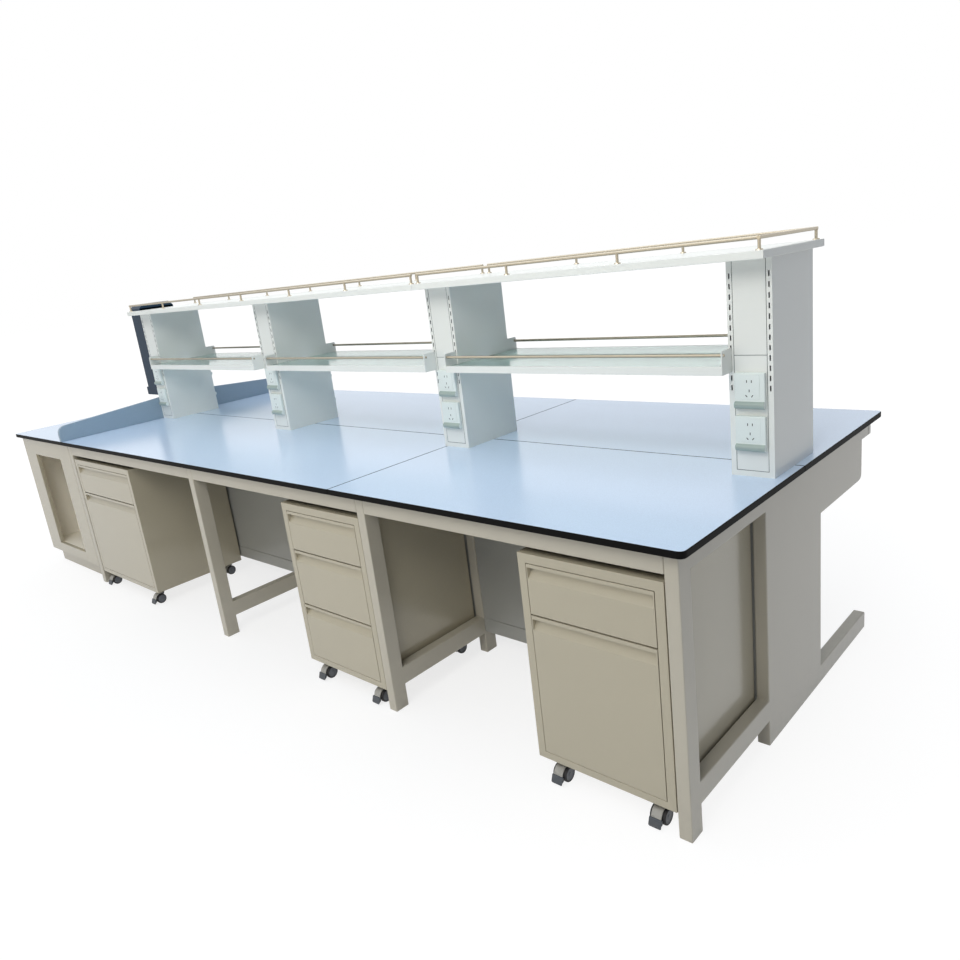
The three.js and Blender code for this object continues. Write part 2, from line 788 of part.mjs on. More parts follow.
// Foot pedal that slopes down and forward from the lower end of the hood
function brakePedal(hoodFace) {
  const root = hoodFace - hoodThickness / 2;
  const tip = root - pedalReach;
  const shape = outline([
    [root, pedalTop],
    [root - pedalThickness, pedalTop, pedalThickness / 2],
    [tip, pedalFoot + pedalThickness, pedalThickness / 2],
    [tip, pedalFoot, pedalThickness / 2],
    [tip + pedalThickness, pedalFoot],
    [root, wheelRadius - webFoot],
  ]);
  return extrudeX(shape, [-pedalWidth / 2, pedalWidth / 2], pedalSteps);
}

// One mobile pedestal, built about its own middle with its front face at Y = 0
function pedestal(name, width, drawerCount) {
  const group = new THREE.Group();
  const half = width / 2;
  const clear = [castorHeight + carcassBottom, pedestalTop - carcassTop];
  const insideHalf = half - carcassSide;
  const insideBack = pedestalDepth - carcassBack;
  const shell = block([-half, half], [0, pedestalDepth], [castorHeight, pedestalTop]);
  const cavity = block([-insideHalf, insideHalf], [-carcassBack, insideBack], clear);
  const heights = drawerHeights(drawerCount, clear[1] - clear[0]);
  const trayDepth = insideBack - drawerBackClearance;
  const runnerSpan = [frontThickness + drawerGap, insideBack];
  const runners = [];
  let top = clear[1] - drawerGap;
  heights.forEach((height, index) => {
    const bottom = top - height;
    const sideHeight = index === 0 ? drawerSideHeight : height * deepDrawerRatio;
    const body = drawer(2 * (insideHalf - drawerGap), height, trayDepth, sideHeight);
    const piece = mesh(`${name}_drawer_${index + 1}`, body, ivoryPaint);
    piece.position.z = bottom;
    group.add(piece);
    for (const side of [-1, 1]) {
      runners.push(wallRunner(side * insideHalf, side, runnerSpan, bottom + runnerRise));
    }
    top = bottom - drawerSplit;
  });
  const rearForks = [];
  for (const side of [-1, 1]) {
    const x = side * (half - castorInset);
    const hand = side < 0 ? 'left' : 'right';
    rearForks.push(castorFork(0, false).translate([x, pedestalDepth - castorSetback, 0]));
    const rearWheel = mesh(`${name}_rear_wheel_${hand}`, wheelPair(), blackTyre);
    rearWheel.position.set(x, pedestalDepth - castorSetback, wheelRadius);
    const fork = mesh(`${name}_castor_fork_${hand}`, castorFork(castorTrail, true), greyPlastic);
    fork.position.set(x, castorSetback, 0);
    const frontWheel = mesh(`${name}_castor_wheel_${hand}`, wheelPair(), blackTyre);
    frontWheel.position.set(x, castorSetback - castorTrail, wheelRadius);
    group.add(rearWheel, fork, frontWheel);
  }
  group.add(mesh(`${name}_carcass`, join([cut(shell, [cavity]), ...runners, ...rearForks]), ivoryPaint));
  return group;
}

function pedestals() {
  const group = new THREE.Group();
  const wide = pedestal('pedestal_1', wideWidth, wideDrawers);
  wide.position.x = frameRight(0) + pedestalGap + wideWidth / 2;
  const middle = pedestal('pedestal_2', narrowWidth, middleDrawers);
  middle.position.x = frameLeft(2) - pedestalGap - narrowWidth / 2;
  const right = pedestal('pedestal_3', narrowWidth, rightDrawers);
  right.position.x = frameLeft(3) - pedestalGap - narrowWidth / 2;
  group.add(wide, middle, right);
  group.position.y = pedestalFront;
  return group;
}

const bench = new THREE.Group();
bench.name = 'lab_bench_with_reagent_shelf';
bench.add(worktop(), underframe(), reagentShelf(), pedestals());
bench.add(mesh('left_cabinet', sinkCabinet(), ivoryPaint));

export default bench;
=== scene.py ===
"""Finishes, rounded edges and small fittings for an island laboratory bench with a reagent shelf."""

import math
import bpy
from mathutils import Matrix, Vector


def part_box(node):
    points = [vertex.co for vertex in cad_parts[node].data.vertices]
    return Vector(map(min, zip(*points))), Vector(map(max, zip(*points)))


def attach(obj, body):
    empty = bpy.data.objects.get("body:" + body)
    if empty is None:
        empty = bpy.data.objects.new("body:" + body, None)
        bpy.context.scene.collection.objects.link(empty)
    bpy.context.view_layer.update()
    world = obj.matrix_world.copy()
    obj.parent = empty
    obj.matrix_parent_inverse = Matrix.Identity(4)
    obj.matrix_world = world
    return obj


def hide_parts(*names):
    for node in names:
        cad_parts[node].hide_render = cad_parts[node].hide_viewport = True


bl_info = {
    "name": "Laboratory Bench Dresser",
    "version": (1, 0, 0),
    "blender": (4, 5, 0),
    "location": "View3D > Sidebar > Bench",
    "description": "Dresses the steel frames, worktop, shelf, pedestals and castors of a laboratory bench",
    "category": "Object",
}

import bmesh
import bpy
from bpy.props import FloatProperty, FloatVectorProperty, PointerProperty
from mathutils import Matrix, Vector

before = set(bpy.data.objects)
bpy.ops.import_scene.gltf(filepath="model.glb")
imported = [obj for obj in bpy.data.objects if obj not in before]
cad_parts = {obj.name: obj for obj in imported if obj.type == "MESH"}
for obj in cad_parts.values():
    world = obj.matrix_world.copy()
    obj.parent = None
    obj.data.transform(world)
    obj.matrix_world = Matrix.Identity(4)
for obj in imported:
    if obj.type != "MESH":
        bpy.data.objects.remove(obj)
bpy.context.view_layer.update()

UP = Vector((0, 0, 1))
BENCH = "bench"
PEDESTALS = ("pedestal_1", "pedestal_2", "pedestal_3")
SIDES = ((-1, "front"), (1, "back"))
UPRIGHTS = ("upright_1", "upright_2", "upright_3", "upright_4")
# Contact holes of a socket: across and up from the middle of its plate, and turn in degrees
CONTACT_HOLES = (
    (-0.007, 0.017, 0),
    (0.007, 0.017, 0),
    (0.0, -0.010, 0),
    (-0.0085, -0.025, -40),
    (0.0085, -0.025, 40),
)
# Tints of the lamps and of the surrounding light, and plain tones
DAYLIGHT = (0.92, 0.96, 1.0)
SOFT = (1.0, 0.98, 0.93)
WARM = (1.0, 0.90, 0.66)
COOL = (0.76, 0.85, 1.0)
WHITE = (1.0, 1.0, 1.0, 1.0)
PALE = (0.8, 0.8, 0.8, 1.0)
# Tolerances: points that are one, a hair's breadth, flat faces, sharp edges and faces that look up
MERGE = 1e-6
HAIR = 2e-4
FLAT_ANGLE = math.radians(0.6)
SHARP_ANGLE = math.radians(32)
UPWARD = 0.5
# Counts: steps of a rounded edge, sides of round pieces, steps of arcs and levels of sockets
FINE_STEPS = 2
USUAL_STEPS = 3
SMOOTH_STEPS = 4
ROD_SIDES = 20
BALL_SIDES = 16
STEM_SIDES = 28
DISC_SIDES = 36
WHEEL_SIDES = 40
CORNER_STEPS = 5
HOOD_STEPS = 18
WEB_STEPS = 10
SOCKET_LEVELS = 2
# Sockets of the shared groups that carry a colour
COLOURED = ("Tone", "Dirt")
# Middle of a noise pattern, and how far patterns change gloss and tone
PATTERN_MEAN = 0.5
GLOSS_SPREAD = 0.12
LINE_SHADE = 0.16
LINE_GLOSS = 0.14


def tone(red, green, blue):
    """Linear colour from the 0 to 255 values that a display shows"""
    values = [channel / 255 for channel in (red, green, blue)]
    return tuple(v / 12.92 if v <= 0.04045 else ((v + 0.055) / 1.055) ** 2.4 for v in values)


def number(label, words, value, **kind):
    return FloatProperty(name=label, description=words, default=value, **kind)


def length(label, words, value):
    return number(label, words, value, subtype="DISTANCE", unit="LENGTH")


def angle(label, words, value):
    return number(label, words, value, subtype="ANGLE", unit="ROTATION")


def focal(label, words, value):
    return number(label, words, value, unit="CAMERA")


def watts(label, words, value):
    return number(label, words, value, unit="POWER")


def triple(label, words, value, **kind):
    return FloatVectorProperty(name=label, description=words, default=value, size=3, **kind)


def colour(label, words, value):
    return triple(label, words, value, subtype="COLOR", min=0, max=1)


def point(label, words, value):
    return triple(label, words, value, subtype="XYZ", unit="LENGTH")


class BenchFinishes(bpy.types.PropertyGroup):
    """Colours of the bench's finishes"""

    laminate: colour("Worktop", "Light blue-grey worktop laminate", tone(204, 223, 246))
    core: colour("Worktop edge", "Black core of the worktop", tone(12, 12, 12))
    grey: colour("Frame paint", "Warm pale grey of the frames", tone(186, 180, 165))
    ivory: colour("Pedestal paint", "Ivory of the pedestals and the cabinet", tone(178, 170, 149))
    # Cream lining, made paler as painted light inside the open cabinet
    lit_lining: colour("Cabinet lining", "Cream lining of the open cabinet", tone(250, 244, 230))
    duct: colour("Duct paint", "Service duct panels", tone(160, 160, 155))
    white: colour("White paint", "Uprights and shelves", tone(233, 235, 230))
    # Painted shade: a dark grey that stands for the shadow inside the upright seams and slots
    seam: colour("Seam", "Shadow in the seams and slots of the uprights", tone(96, 99, 102))
    splash: colour("Splash panel", "Grey-blue laminate of the splash panels", tone(142, 163, 180))
    slate: colour("Drip rack", "Dark slate moulding", tone(22, 46, 66))
    # Satin steel, tinted warm as a painted reflection of warm surroundings seen in the tube
    steel: colour("Guard rails", "Warm satin steel tube", tone(172, 163, 146))
    zinc: colour("Runners", "Zinc-plated drawer runners", tone(150, 154, 158))
    pane: colour("Shelf pane", "Faintly green glass", tone(214, 238, 230))
    nylon: colour("Castor hood", "Light grey moulded nylon", tone(166, 164, 158))
    tyre: colour("Tyre", "Black castor tread", tone(24, 24, 26))
    hub: colour("Hub", "Grey wheel disc", tone(96, 100, 108))
    pedal: colour("Brake pedal", "Blue-grey foot pedal", tone(66, 71, 78))
    socket: colour("Socket", "White socket moulding", tone(228, 236, 232))
    # Painted shade: a darker grey-green copy of the socket white, for the shaded underside of the lower
    # lip
    lip: colour("Socket lip", "Grey-green lower lip of a socket", tone(160, 174, 167))
    # Painted shade: near-black for the shade inside the socket holes
    contact: colour("Socket holes", "Dark inside of the socket holes", tone(30, 32, 34))


class BenchSizes(bpy.types.PropertyGroup):
    """Sizes of the rounded edges and the small fittings"""

    board_round: length("Board edge", "Rounding of the worktop edge", 0.0022)
    tube_round: length("Tube corner", "Corner radius of the frame tubes", 0.0035)
    sheet_round: length("Sheet bend", "Outer radius of a sheet bend", 0.0014)
    kick_height: length("Kick height", "Height of the recessed kick plinth", 0.095)
    cabinet_wall: length("Cabinet wall", "Face of the cabinet to its lining", 0.018)
    mould_round: length("Moulding edge", "Edge radius of the drip rack moulding", 0.0018)
    fine_round: length("Fine edge", "Rounding of slots and seams", 0.0005)
    shelf_lip: length("Top shelf lip", "Height of the top shelf's folded lip", 0.022)
    guard_height: length("Guard height", "Rail axis above the top shelf", 0.032)
    guard_radius: length("Guard radius", "Radius of the guard rail", 0.0050)
    guard_post: length("Guard post", "Radius of a guard post", 0.0045)
    guard_inset: length("Guard inset", "Rail axis to the shelf edge", 0.018)
    guard_gap: length("Guard gap", "Usual distance between guard posts", 0.430)
    flange_radius: length("Post flange", "Radius of the flange under a guard post", 0.0105)
    flange_height: length("Flange height", "Height of that flange", 0.0035)
    flange_top: length("Flange top", "Radius at the top of that flange", 0.008925)
    clamp_radius: length("Post clamp", "Radius of the clamp ball on a post", 0.0052)
    pane_thickness: length("Pane", "Thickness of a hung shelf's pane", 0.0065)
    pane_play: length("Pane play", "Room between a pane and an upright", 0.0006)
    lip_height: length("Lip height", "Height of a hung shelf's lip", 0.024)
    lip_depth: length("Lip depth", "Depth of a hung shelf's lip and bearers", 0.014)
    shelf_depth: length("Shelf depth", "Front to back of a hung shelf", 0.180)
    bracket_thickness: length("Bracket", "Thickness of a bracket plate", 0.003)
    bracket_round: length("Bracket corner", "Radius of a bracket's upper corner", 0.008)
    bar_radius: length("Bar radius", "Radius of a hung shelf's guard bar", 0.005)
    bar_inset: length("Bar inset", "Guard bar behind the nose of the shelf", 0.011)
    bar_drop: length("Bar drop", "Guard bar below the top of the bracket", 0.014)
    cap_radius: length("Bar cap", "Radius of the cap at the end of a guard bar", 0.0045)
    cap_tip: length("Cap tip", "Radius of that cap at its tip", 0.0036)
    cap_length: length("Cap length", "Length of that cap", 0.0025)
    seam_depth: length("Seam depth", "Deepest cut in the face of an upright", 0.0068)
    socket_width: length("Socket width", "Width of a socket housing", 0.089)
    socket_height: length("Socket height", "Height of a socket housing", 0.104)
    socket_rise: length("Socket rise", "Lower socket above the worktop", 0.079)
    socket_spacing: length("Socket spacing", "Distance between the two sockets", 0.125)
    socket_depth: length("Socket depth", "How far the flat face of a socket stands out", 0.012)
    socket_proud: length("Lip depth", "How far the lower lip of a socket stands out", 0.020)
    socket_lip: length("Lip height", "Height of the lower lip of a socket", 0.022)
    lip_slope: length("Lip slope", "Drop from the flat face to the front of that lip", 0.0055)
    lip_crown: length("Lip crown", "Rounding above the front of that lip", 0.0036667)
    lip_curve: length("Lip curve", "Rounding below the front of that lip", 0.011)
    socket_round: length("Socket round", "Rounding of the socket housing", 0.0035)
    plate_width: length("Plate width", "Width of the raised socket plate", 0.061)
    plate_height: length("Plate height", "Height of the raised socket plate", 0.070)
    plate_corner: length("Plate corner", "Corner radius of that plate", 0.005)
    plate_rise: length("Plate rise", "How far that plate stands out", 0.0012)
    contact_width: length("Contact width", "Width of a contact hole", 0.0024)
    contact_height: length("Contact height", "Height of a contact hole", 0.0076)
    runner_inset: length("Runner inset", "Ends of the runners inside the carcass", 0.017)
    runner_wall: length("Runner wall", "Side of the carcass to the back of a runner", 0.0275)
    runner_reach: length("Runner reach", "Side of the carcass to the face of a runner", 0.0375)
    castor_height: length("Castor height", "Floor to the underside of a pedestal", 0.076)
    castor_plate: length("Castor disc", "Width of the mounting disc", 0.056)
    castor_plate_thickness: length("Disc thickness", "Thickness of the mounting disc", 0.004)
    disc_play: length("Disc play", "Rim of the mounting disc inside its outline", 0.00056)
    stem_radius: length("Stem radius", "Radius of a castor stem", 0.0125)
    web_width: length("Web width", "Castor body between the two wheels", 0.0145)
    web_boss: length("Web boss", "Web below and beside the axle", 0.0087)
    web_shoulder: length("Web shoulder", "Web behind the middle of the stem", 0.01125)
    hood_radius: length("Hood radius", "Inner radius of the hood", 0.027)
    hood_thickness: length("Hood thickness", "Thickness of the hood", 0.004)
    hood_width: length("Hood width", "Width of the hood", 0.032)
    hood_round: length("Hood round", "Rounding of the hood edges", 0.0012)
    hood_start: angle("Hood start", "Rear end of the hood's arch", 1.1)
    hood_end: angle("Hood end", "Lower front end of the hood's arch", 3.45)
    pedal_width: length("Pedal width", "Width of a brake pedal", 0.040)
    pedal_corner: length("Pedal corner", "Corner radius at the tip of a brake pedal", 0.006)
    pedal_round: length("Pedal round", "Rounding of the pedal edges", 0.0008)
    pedal_ease: length("Pedal ease", "Rounding of the pedal's bends", 0.002)
    pedal_thickness: length("Pedal thickness", "Thickness of a brake pedal", 0.005)
    wheel_width: length("Wheel width", "Width of one wheel of a pair", 0.015)
    hub_radius: length("Hub radius", "Radius of a wheel disc", 0.0195)
    hub_rim: length("Hub rim", "Where the dish of a wheel disc begins", 0.01755)
    hub_cap: length("Hub cap", "Radius of the raised cap in the dish", 0.00546)
    hub_step: length("Hub step", "Radius at the foot of that cap", 0.00663)
    hub_dish: length("Hub dish", "Depth of the dish", 0.0015)
    cap_dish: length("Cap dish", "Depth of the cap below the tyre", 0.0005)
    tyre_round: length("Tyre round", "Rounding of the tyre", 0.003)
    tyre_ease: length("Tyre ease", "Middle of that rounding below the tread and the side", 0.0009)
    axle_radius: length("Axle radius", "Radius of a castor axle", 0.004)


class BenchStage(bpy.types.PropertyGroup):
    """Camera, light and floor"""

    eye: point("Camera", "Where the camera stands", (3.1089, -2.2684, 1.5624))
    aim: point("Aim", "Point in the middle of the view", (0.4401, 0.5023, 0.4668))
    roll: angle("Roll", "Turn about the view", -0.1233)
    lens: focal("Lens", "Focal length in millimetres", 29.341)
    sensor: focal("Sensor", "Sensor width in millimetres", 36.0)
    ceiling: watts("Ceiling light", "Power of the ceiling panel", 165.0)
    key: watts("Front light", "Power of the high front panel", 100.0)
    glow: watts("Warm light", "Power of the low front panel", 28.0)
    rear: watts("Rear light", "Power of the panel behind the bench", 50.0)
    ambient: number("Ambient", "Strength of the surrounding light", 0.22, min=0)
    floor_tone: colour("Floor", "Pale floor", (0.92, 0.92, 0.92))
    floor_reach: length("Floor reach", "Middle of the floor to its edge", 60.0)
    floor_white: number("Floor white", "Strength of the white that the camera sees", 1.06, min=0)
    fade_start: length("Fade start", "Where the shadow begins to fade out", 0.8)
    fade_end: length("Fade end", "Where the floor is all white", 4.2)
    fade_least: number("Least white", "White at the bench", 0.72, subtype="FACTOR", min=0, max=1)


def finishes():
    return bpy.context.scene.bench_finishes


def sizes():
    return bpy.context.scene.bench_sizes


def opaque(value):
    return (*value, 1.0)


def settle(node, inputs):
    """Fills a node's inputs: a socket of another node is linked, anything else is a plain value"""
    for key, value in inputs.items():
        if isinstance(value, bpy.types.NodeSocket):
            node.id_data.links.new(value, node.inputs[key])
        else:
            node.inputs[key].default_value = value


def put(tree, kind, inputs=None, **settings):
    """One node with its attributes and its inputs"""
    node = tree.nodes.new(kind)
    for key, value in settings.items():
        setattr(node, key, value)
    settle(node, inputs or {})
    return node


def maths(tree, operation, *operands):
    """Result of a math node, whose operands are numbers or sockets"""
    return put(tree, "ShaderNodeMath", dict(enumerate(operands)), operation=operation).outputs[0]


def spread_range(tree, inputs, **settings):
    """Value taken from one range to another and held inside it"""
    return put(tree, "ShaderNodeMapRange", inputs, clamp=True, **settings).outputs[0]


def own_place(tree):
    """Place on the object, in metres"""
    return put(tree, "ShaderNodeTexCoord").outputs["Object"]


def noise(tree, place, scale, detail, roughness=0.5):
    inputs = {"Vector": place, "Scale": scale, "Detail": detail, "Roughness": roughness}
    return put(tree, "ShaderNodeTexNoise", inputs).outputs["Fac"]


def scaled(tree, tone_socket, amount):
    """Tone made lighter or darker"""
    inputs = {0: tone_socket, "Scale": amount}
    return put(tree, "ShaderNodeVectorMath", inputs, operation="SCALE").outputs[0]


def surface_group(name, inputs, outputs):
    """An empty shader node group with its named sockets"""
    group = bpy.data.node_groups.new(name, "ShaderNodeTree")

    def socket(label, way):
        kind = "NodeSocketColor" if label in COLOURED else "NodeSocketFloat"
        return group.interface.new_socket(name=label, in_out=way, socket_type=kind)

    for label, value in inputs.items():
        socket(label, "INPUT").default_value = value
    for label in outputs:
        socket(label, "OUTPUT")
    return group, group.nodes.new("NodeGroupInput").outputs, group.nodes.new("NodeGroupOutput")


def varied(group, tone_socket, pattern, spread):
    """Tone made lighter and darker around itself, by a pattern from 0 to 1 and its spread"""
    centre = maths(group, "SUBTRACT", pattern, PATTERN_MEAN)
    return scaled(group, tone_socket, maths(group, "MULTIPLY_ADD", centre, spread, 1.0))


def coat_group(name):
    """Sprayed coat: slow drift of the tone, fine grain in the height and a grain in the gloss"""
    inputs = {"Tone": PALE, "Drift": 0.06, "Grain Scale": 900.0, "Gloss": 0.35}
    group, given, leave = surface_group(name, inputs, ("Tone", "Roughness", "Height"))
    place = own_place(group)
    slow = noise(group, place, 2.3, detail=3.0)
    fine = noise(group, place, given["Grain Scale"], detail=2.0, roughness=0.6)
    uneven = maths(group, "MULTIPLY_ADD", fine, GLOSS_SPREAD, given["Gloss"])
    gloss = maths(group, "SUBTRACT", uneven, GLOSS_SPREAD * PATTERN_MEAN)
    tinted = varied(group, given["Tone"], slow, given["Drift"])
    settle(leave, {"Tone": tinted, "Roughness": gloss, "Height": fine})
    return group


def scuff_group(name):
    """Faint dirt and rubbed marks that gather near the floor"""
    inputs = {"Tone": PALE, "Dirt": (0.12, 0.11, 0.1, 1.0), "Reach": 0.16, "Strength": 0.25}
    group, given, leave = surface_group(name, inputs, ("Tone",))
    place = own_place(group)
    height = put(group, "ShaderNodeSeparateXYZ", {0: place}).outputs["Z"]
    low = spread_range(group, {"Value": height, "From Max": given["Reach"], "To Min": 1.0, "To Max": 0.0})
    marks = noise(group, place, 34.0, detail=5.0, roughness=0.62)
    sharp = spread_range(group, {"Value": marks, "From Min": 0.44, "From Max": 0.72})
    amount = maths(group, "MULTIPLY", maths(group, "MULTIPLY", low, sharp), given["Strength"])
    inputs = {"Factor": amount, "A": given["Tone"], "B": given["Dirt"]}
    blend = put(group, "ShaderNodeMix", inputs, data_type="RGBA")
    settle(leave, {"Tone": blend.outputs["Result"]})
    return group


def fleck_group(name):
    """Very fine pale and dark flecks of a pressed laminate"""
    inputs = {"Tone": PALE, "Scale": 700.0, "Contrast": 0.12}
    group, given, leave = surface_group(name, inputs, ("Tone",))
    inputs = {"Vector": own_place(group), "Scale": given["Scale"], "Randomness": 1.0}
    cells = put(group, "ShaderNodeTexVoronoi", inputs).outputs["Color"]
    pick = put(group, "ShaderNodeSeparateColor", {0: cells}).outputs[0]
    settle(leave, {"Tone": varied(group, given["Tone"], pick, given["Contrast"])})
    return group


def brush_group(name):
    """Long polishing lines of drawn steel tube"""
    inputs = {"Tone": PALE, "Gloss": 0.25}
    group, given, leave = surface_group(name, inputs, ("Tone", "Roughness", "Height"))
    inputs = {"Vector": own_place(group), "Scale": (6.0, 900.0, 900.0)}
    stretched = put(group, "ShaderNodeMapping", inputs).outputs[0]
    lines = noise(group, stretched, 1.0, detail=3.0)
    shade = maths(group, "MULTIPLY_ADD", lines, LINE_SHADE, 1 - LINE_SHADE * PATTERN_MEAN)
    gloss = maths(group, "MULTIPLY_ADD", lines, LINE_GLOSS, given["Gloss"])
    tinted = scaled(group, given["Tone"], shade)
    settle(leave, {"Tone": tinted, "Roughness": gloss, "Height": lines})
    return group


def use_group(tree, name, build, inputs):
    """The shared group of that name, built at its first use, with a material's own values"""
    shared = bpy.data.node_groups.get(name) or build(name)
    return put(tree, "ShaderNodeGroup", inputs, node_tree=shared).outputs


def use_coat(tree, value, drift, grain, gloss):
    inputs = {"Tone": opaque(value), "Drift": drift, "Grain Scale": grain, "Gloss": gloss}
    return use_group(tree, "sprayed_coat", coat_group, inputs)


# Each finish below places its groups in a material's tree. It gives back the sockets with the roughness
# and height, the socket with the tone, the values of the bump and the values of the shader.
def coated(tree, value, gloss, grain=900, relief=0.0001, drift=0.06, scuff=0.0, coat=0.0, shine=0.5):
    """Sprayed or moulded finish: an even tone with grain, gloss and, near the floor, faint marks"""
    base = use_coat(tree, value, drift, grain, gloss)
    tinted = base["Tone"]
    if scuff:
        tinted = use_group(tree, "floor_scuffs", scuff_group, {"Tone": tinted, "Strength": scuff})["Tone"]
    surface = {"Specular IOR Level": shine, "Coat Weight": coat, "Coat Roughness": 0.12}
    return base, tinted, {"Strength": 0.25, "Distance": relief}, surface


def laminate_sheet(tree, value, gloss):
    """Pressed laminate: fine flecks under a satin surface"""
    base = use_coat(tree, value, drift=0.05, grain=620.0, gloss=gloss)
    inputs = {"Tone": base["Tone"], "Scale": 640.0, "Contrast": 0.10}
    flecks = use_group(tree, "laminate_flecks", fleck_group, inputs)
    surface = {"Coat Weight": 0.3, "Coat Roughness": 0.16}
    return base, flecks["Tone"], {"Strength": 0.2, "Distance": 0.0001}, surface


def drawn_steel(tree, value, gloss):
    """Satin metal with polishing lines along it"""
    lines = use_group(tree, "polishing_lines", brush_group, {"Tone": opaque(value), "Gloss": gloss})
    return lines, lines["Tone"], {"Strength": 0.15, "Distance": 0.00005}, {"Metallic": 1.0}


def glass_pane(tree, value):
    """Clear toughened glass with a faint green body and a trace of handling marks in its gloss"""
    base = use_coat(tree, value, drift=0.03, grain=18.0, gloss=0.10)
    surface = {"Transmission Weight": 0.85, "IOR": 1.5}
    return base, base["Tone"], {"Strength": 0.02, "Distance": 0.0001}, surface


# Grain of the two ways a surface is made: sprayed powder paint and moulded plastic
SPRAYED = {"grain": 1100, "relief": 0.00012}
MOULDED = {"grain": 800, "relief": 0.0002}

# Each finish: how it is made, the name of its colour and its own settings
FINISHES = {
    "worktop_laminate": (laminate_sheet, "laminate", dict(gloss=0.22)),
    "worktop_core": (coated, "core", dict(gloss=0.55, grain=700, relief=0.0002, shine=0.06)),
    "frame_paint": (coated, "grey", dict(gloss=0.32, scuff=0.12, coat=0.2, **SPRAYED)),
    "ivory_paint": (coated, "ivory", dict(gloss=0.27, scuff=0.15, coat=0.4, **SPRAYED)),
    "cabinet_lit_lining": (coated, "lit_lining", dict(gloss=0.45)),
    "duct_paint": (coated, "duct", dict(gloss=0.40, coat=0.1, **SPRAYED)),
    "white_paint": (coated, "white", dict(gloss=0.34, coat=0.15, **SPRAYED)),
    "upright_seam_shade": (coated, "seam", dict(gloss=0.6)),
    "splash_laminate": (laminate_sheet, "splash", dict(gloss=0.40)),
    "slate_moulding": (coated, "slate", dict(gloss=0.44, shine=0.2, **MOULDED)),
    "guard_steel_warm_reflection": (drawn_steel, "steel", dict(gloss=0.22)),
    "runner_zinc": (drawn_steel, "zinc", dict(gloss=0.38)),
    "shelf_glass": (glass_pane, "pane", {}),
    "castor_nylon": (coated, "nylon", dict(gloss=0.45, scuff=0.35, **MOULDED)),
    "castor_tyre": (coated, "tyre", dict(gloss=0.68, grain=1600, relief=0.0003, drift=0.2, scuff=0.2)),
    "castor_hub": (coated, "hub", dict(gloss=0.42, relief=0.0002, scuff=0.2)),
    "brake_pedal": (coated, "pedal", dict(gloss=0.48, relief=0.0003, scuff=0.25)),
    "socket_moulding": (coated, "socket", dict(gloss=0.28)),
    "socket_lip": (coated, "lip", dict(gloss=0.34)),
    "socket_hole_shade": (coated, "contact", dict(gloss=0.6)),
}


def finish(name):
    """The material of that name, made at its first use"""
    made = bpy.data.materials.get(f"{name}_finish")
    if made:
        return made
    material = bpy.data.materials.new(f"{name}_finish")
    material.use_nodes = True
    tree = material.node_tree
    build, colour_name, settings = FINISHES[name]
    base, tinted, relief, surface = build(tree, getattr(finishes(), colour_name), **settings)
    bump = put(tree, "ShaderNodeBump", {"Height": base["Height"], **relief})
    inputs = {"Base Color": tinted, "Roughness": base["Roughness"], "Normal": bump.outputs["Normal"]}
    settle(tree.nodes["Principled BSDF"], {**inputs, **surface})
    return material


def add_piece(name, bm, body, paints, nodes=(), rounding=0.0, segments=USUAL_STEPS):
    """Turns a bmesh into a named piece that rides on a body, with rounded edges and clean shading"""
    mesh = bpy.data.meshes.new(name)
    bm.normal_update()
    bm.to_mesh(mesh)
    bm.free()
    for polygon in mesh.polygons:
        polygon.use_smooth = True
    for paint in paints:
        mesh.materials.append(finish(paint))
    piece = bpy.data.objects.new(name, mesh)
    bpy.context.scene.collection.objects.link(piece)
    if rounding:
        bevel = piece.modifiers.new("rounded_edges", "BEVEL")
        bevel.width = rounding
        bevel.segments = segments
        bevel.limit_method = "ANGLE"
        bevel.angle_limit = SHARP_ANGLE
        bevel.use_clamp_overlap = True
    else:
        mesh.set_sharp_from_angle(angle=SHARP_ANGLE)
    even = piece.modifiers.new("even_shading", "WEIGHTED_NORMAL")
    even.keep_sharp = True
    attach(piece, body)
    if nodes:
        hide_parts(*nodes)
    return piece


def add_shelf_piece(name, bm, paints, nodes=(), rounding=0.0, segments=FINE_STEPS):
    """Piece of the reagent shelf, which rides on the bench"""
    add_piece(name, bm, BENCH, paints, nodes, rounding, segments)


def node_copy(node, keep=None):
    """Working copy of a solid with its flat faces merged; keep picks the faces that stay"""
    bm = bmesh.new()
    bm.from_mesh(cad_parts[node].data)
    bmesh.ops.remove_doubles(bm, verts=bm.verts, dist=MERGE)
    if keep:
        left_out = [face for face in bm.faces if not keep(face)]
        bmesh.ops.delete(bm, geom=left_out, context="FACES")
        rims = [edge for edge in bm.edges if edge.is_boundary]
        bmesh.ops.holes_fill(bm, edges=rims, sides=0)
    bmesh.ops.recalc_face_normals(bm, faces=bm.faces)
    bmesh.ops.dissolve_limit(bm, angle_limit=FLAT_ANGLE, verts=bm.verts, edges=bm.edges)
    return bm


def paint_faces(bm, chosen):
    """Gives the second of a piece's finishes to the faces that a test picks"""
    for face in bm.faces:
        face.material_index = int(chosen(face))


def add_block(bm, low, high):
    low, high = Vector(low), Vector(high)
    place = Matrix.Translation((low + high) / 2) @ Matrix.Diagonal((*(high - low), 1))
    return bmesh.ops.create_cube(bm, size=1, matrix=place)["verts"]


def add_rod(bm, start, end, radius, end_radius=None, sides=ROD_SIDES):
    start, end = Vector(start), Vector(end)
    along = end - start
    turn = UP.rotation_difference(along).to_matrix().to_4x4()
    place = Matrix.Translation((start + end) / 2) @ turn
    far = radius if end_radius is None else end_radius
    bmesh.ops.create_cone(
        bm, cap_ends=True, segments=sides, radius1=radius, radius2=far, depth=along.length, matrix=place
    )


def add_ball(bm, centre, radius):
    place = Matrix.Translation(centre)
    rings = BALL_SIDES // 2
    bmesh.ops.create_uvsphere(bm, u_segments=BALL_SIDES, v_segments=rings, radius=radius, matrix=place)


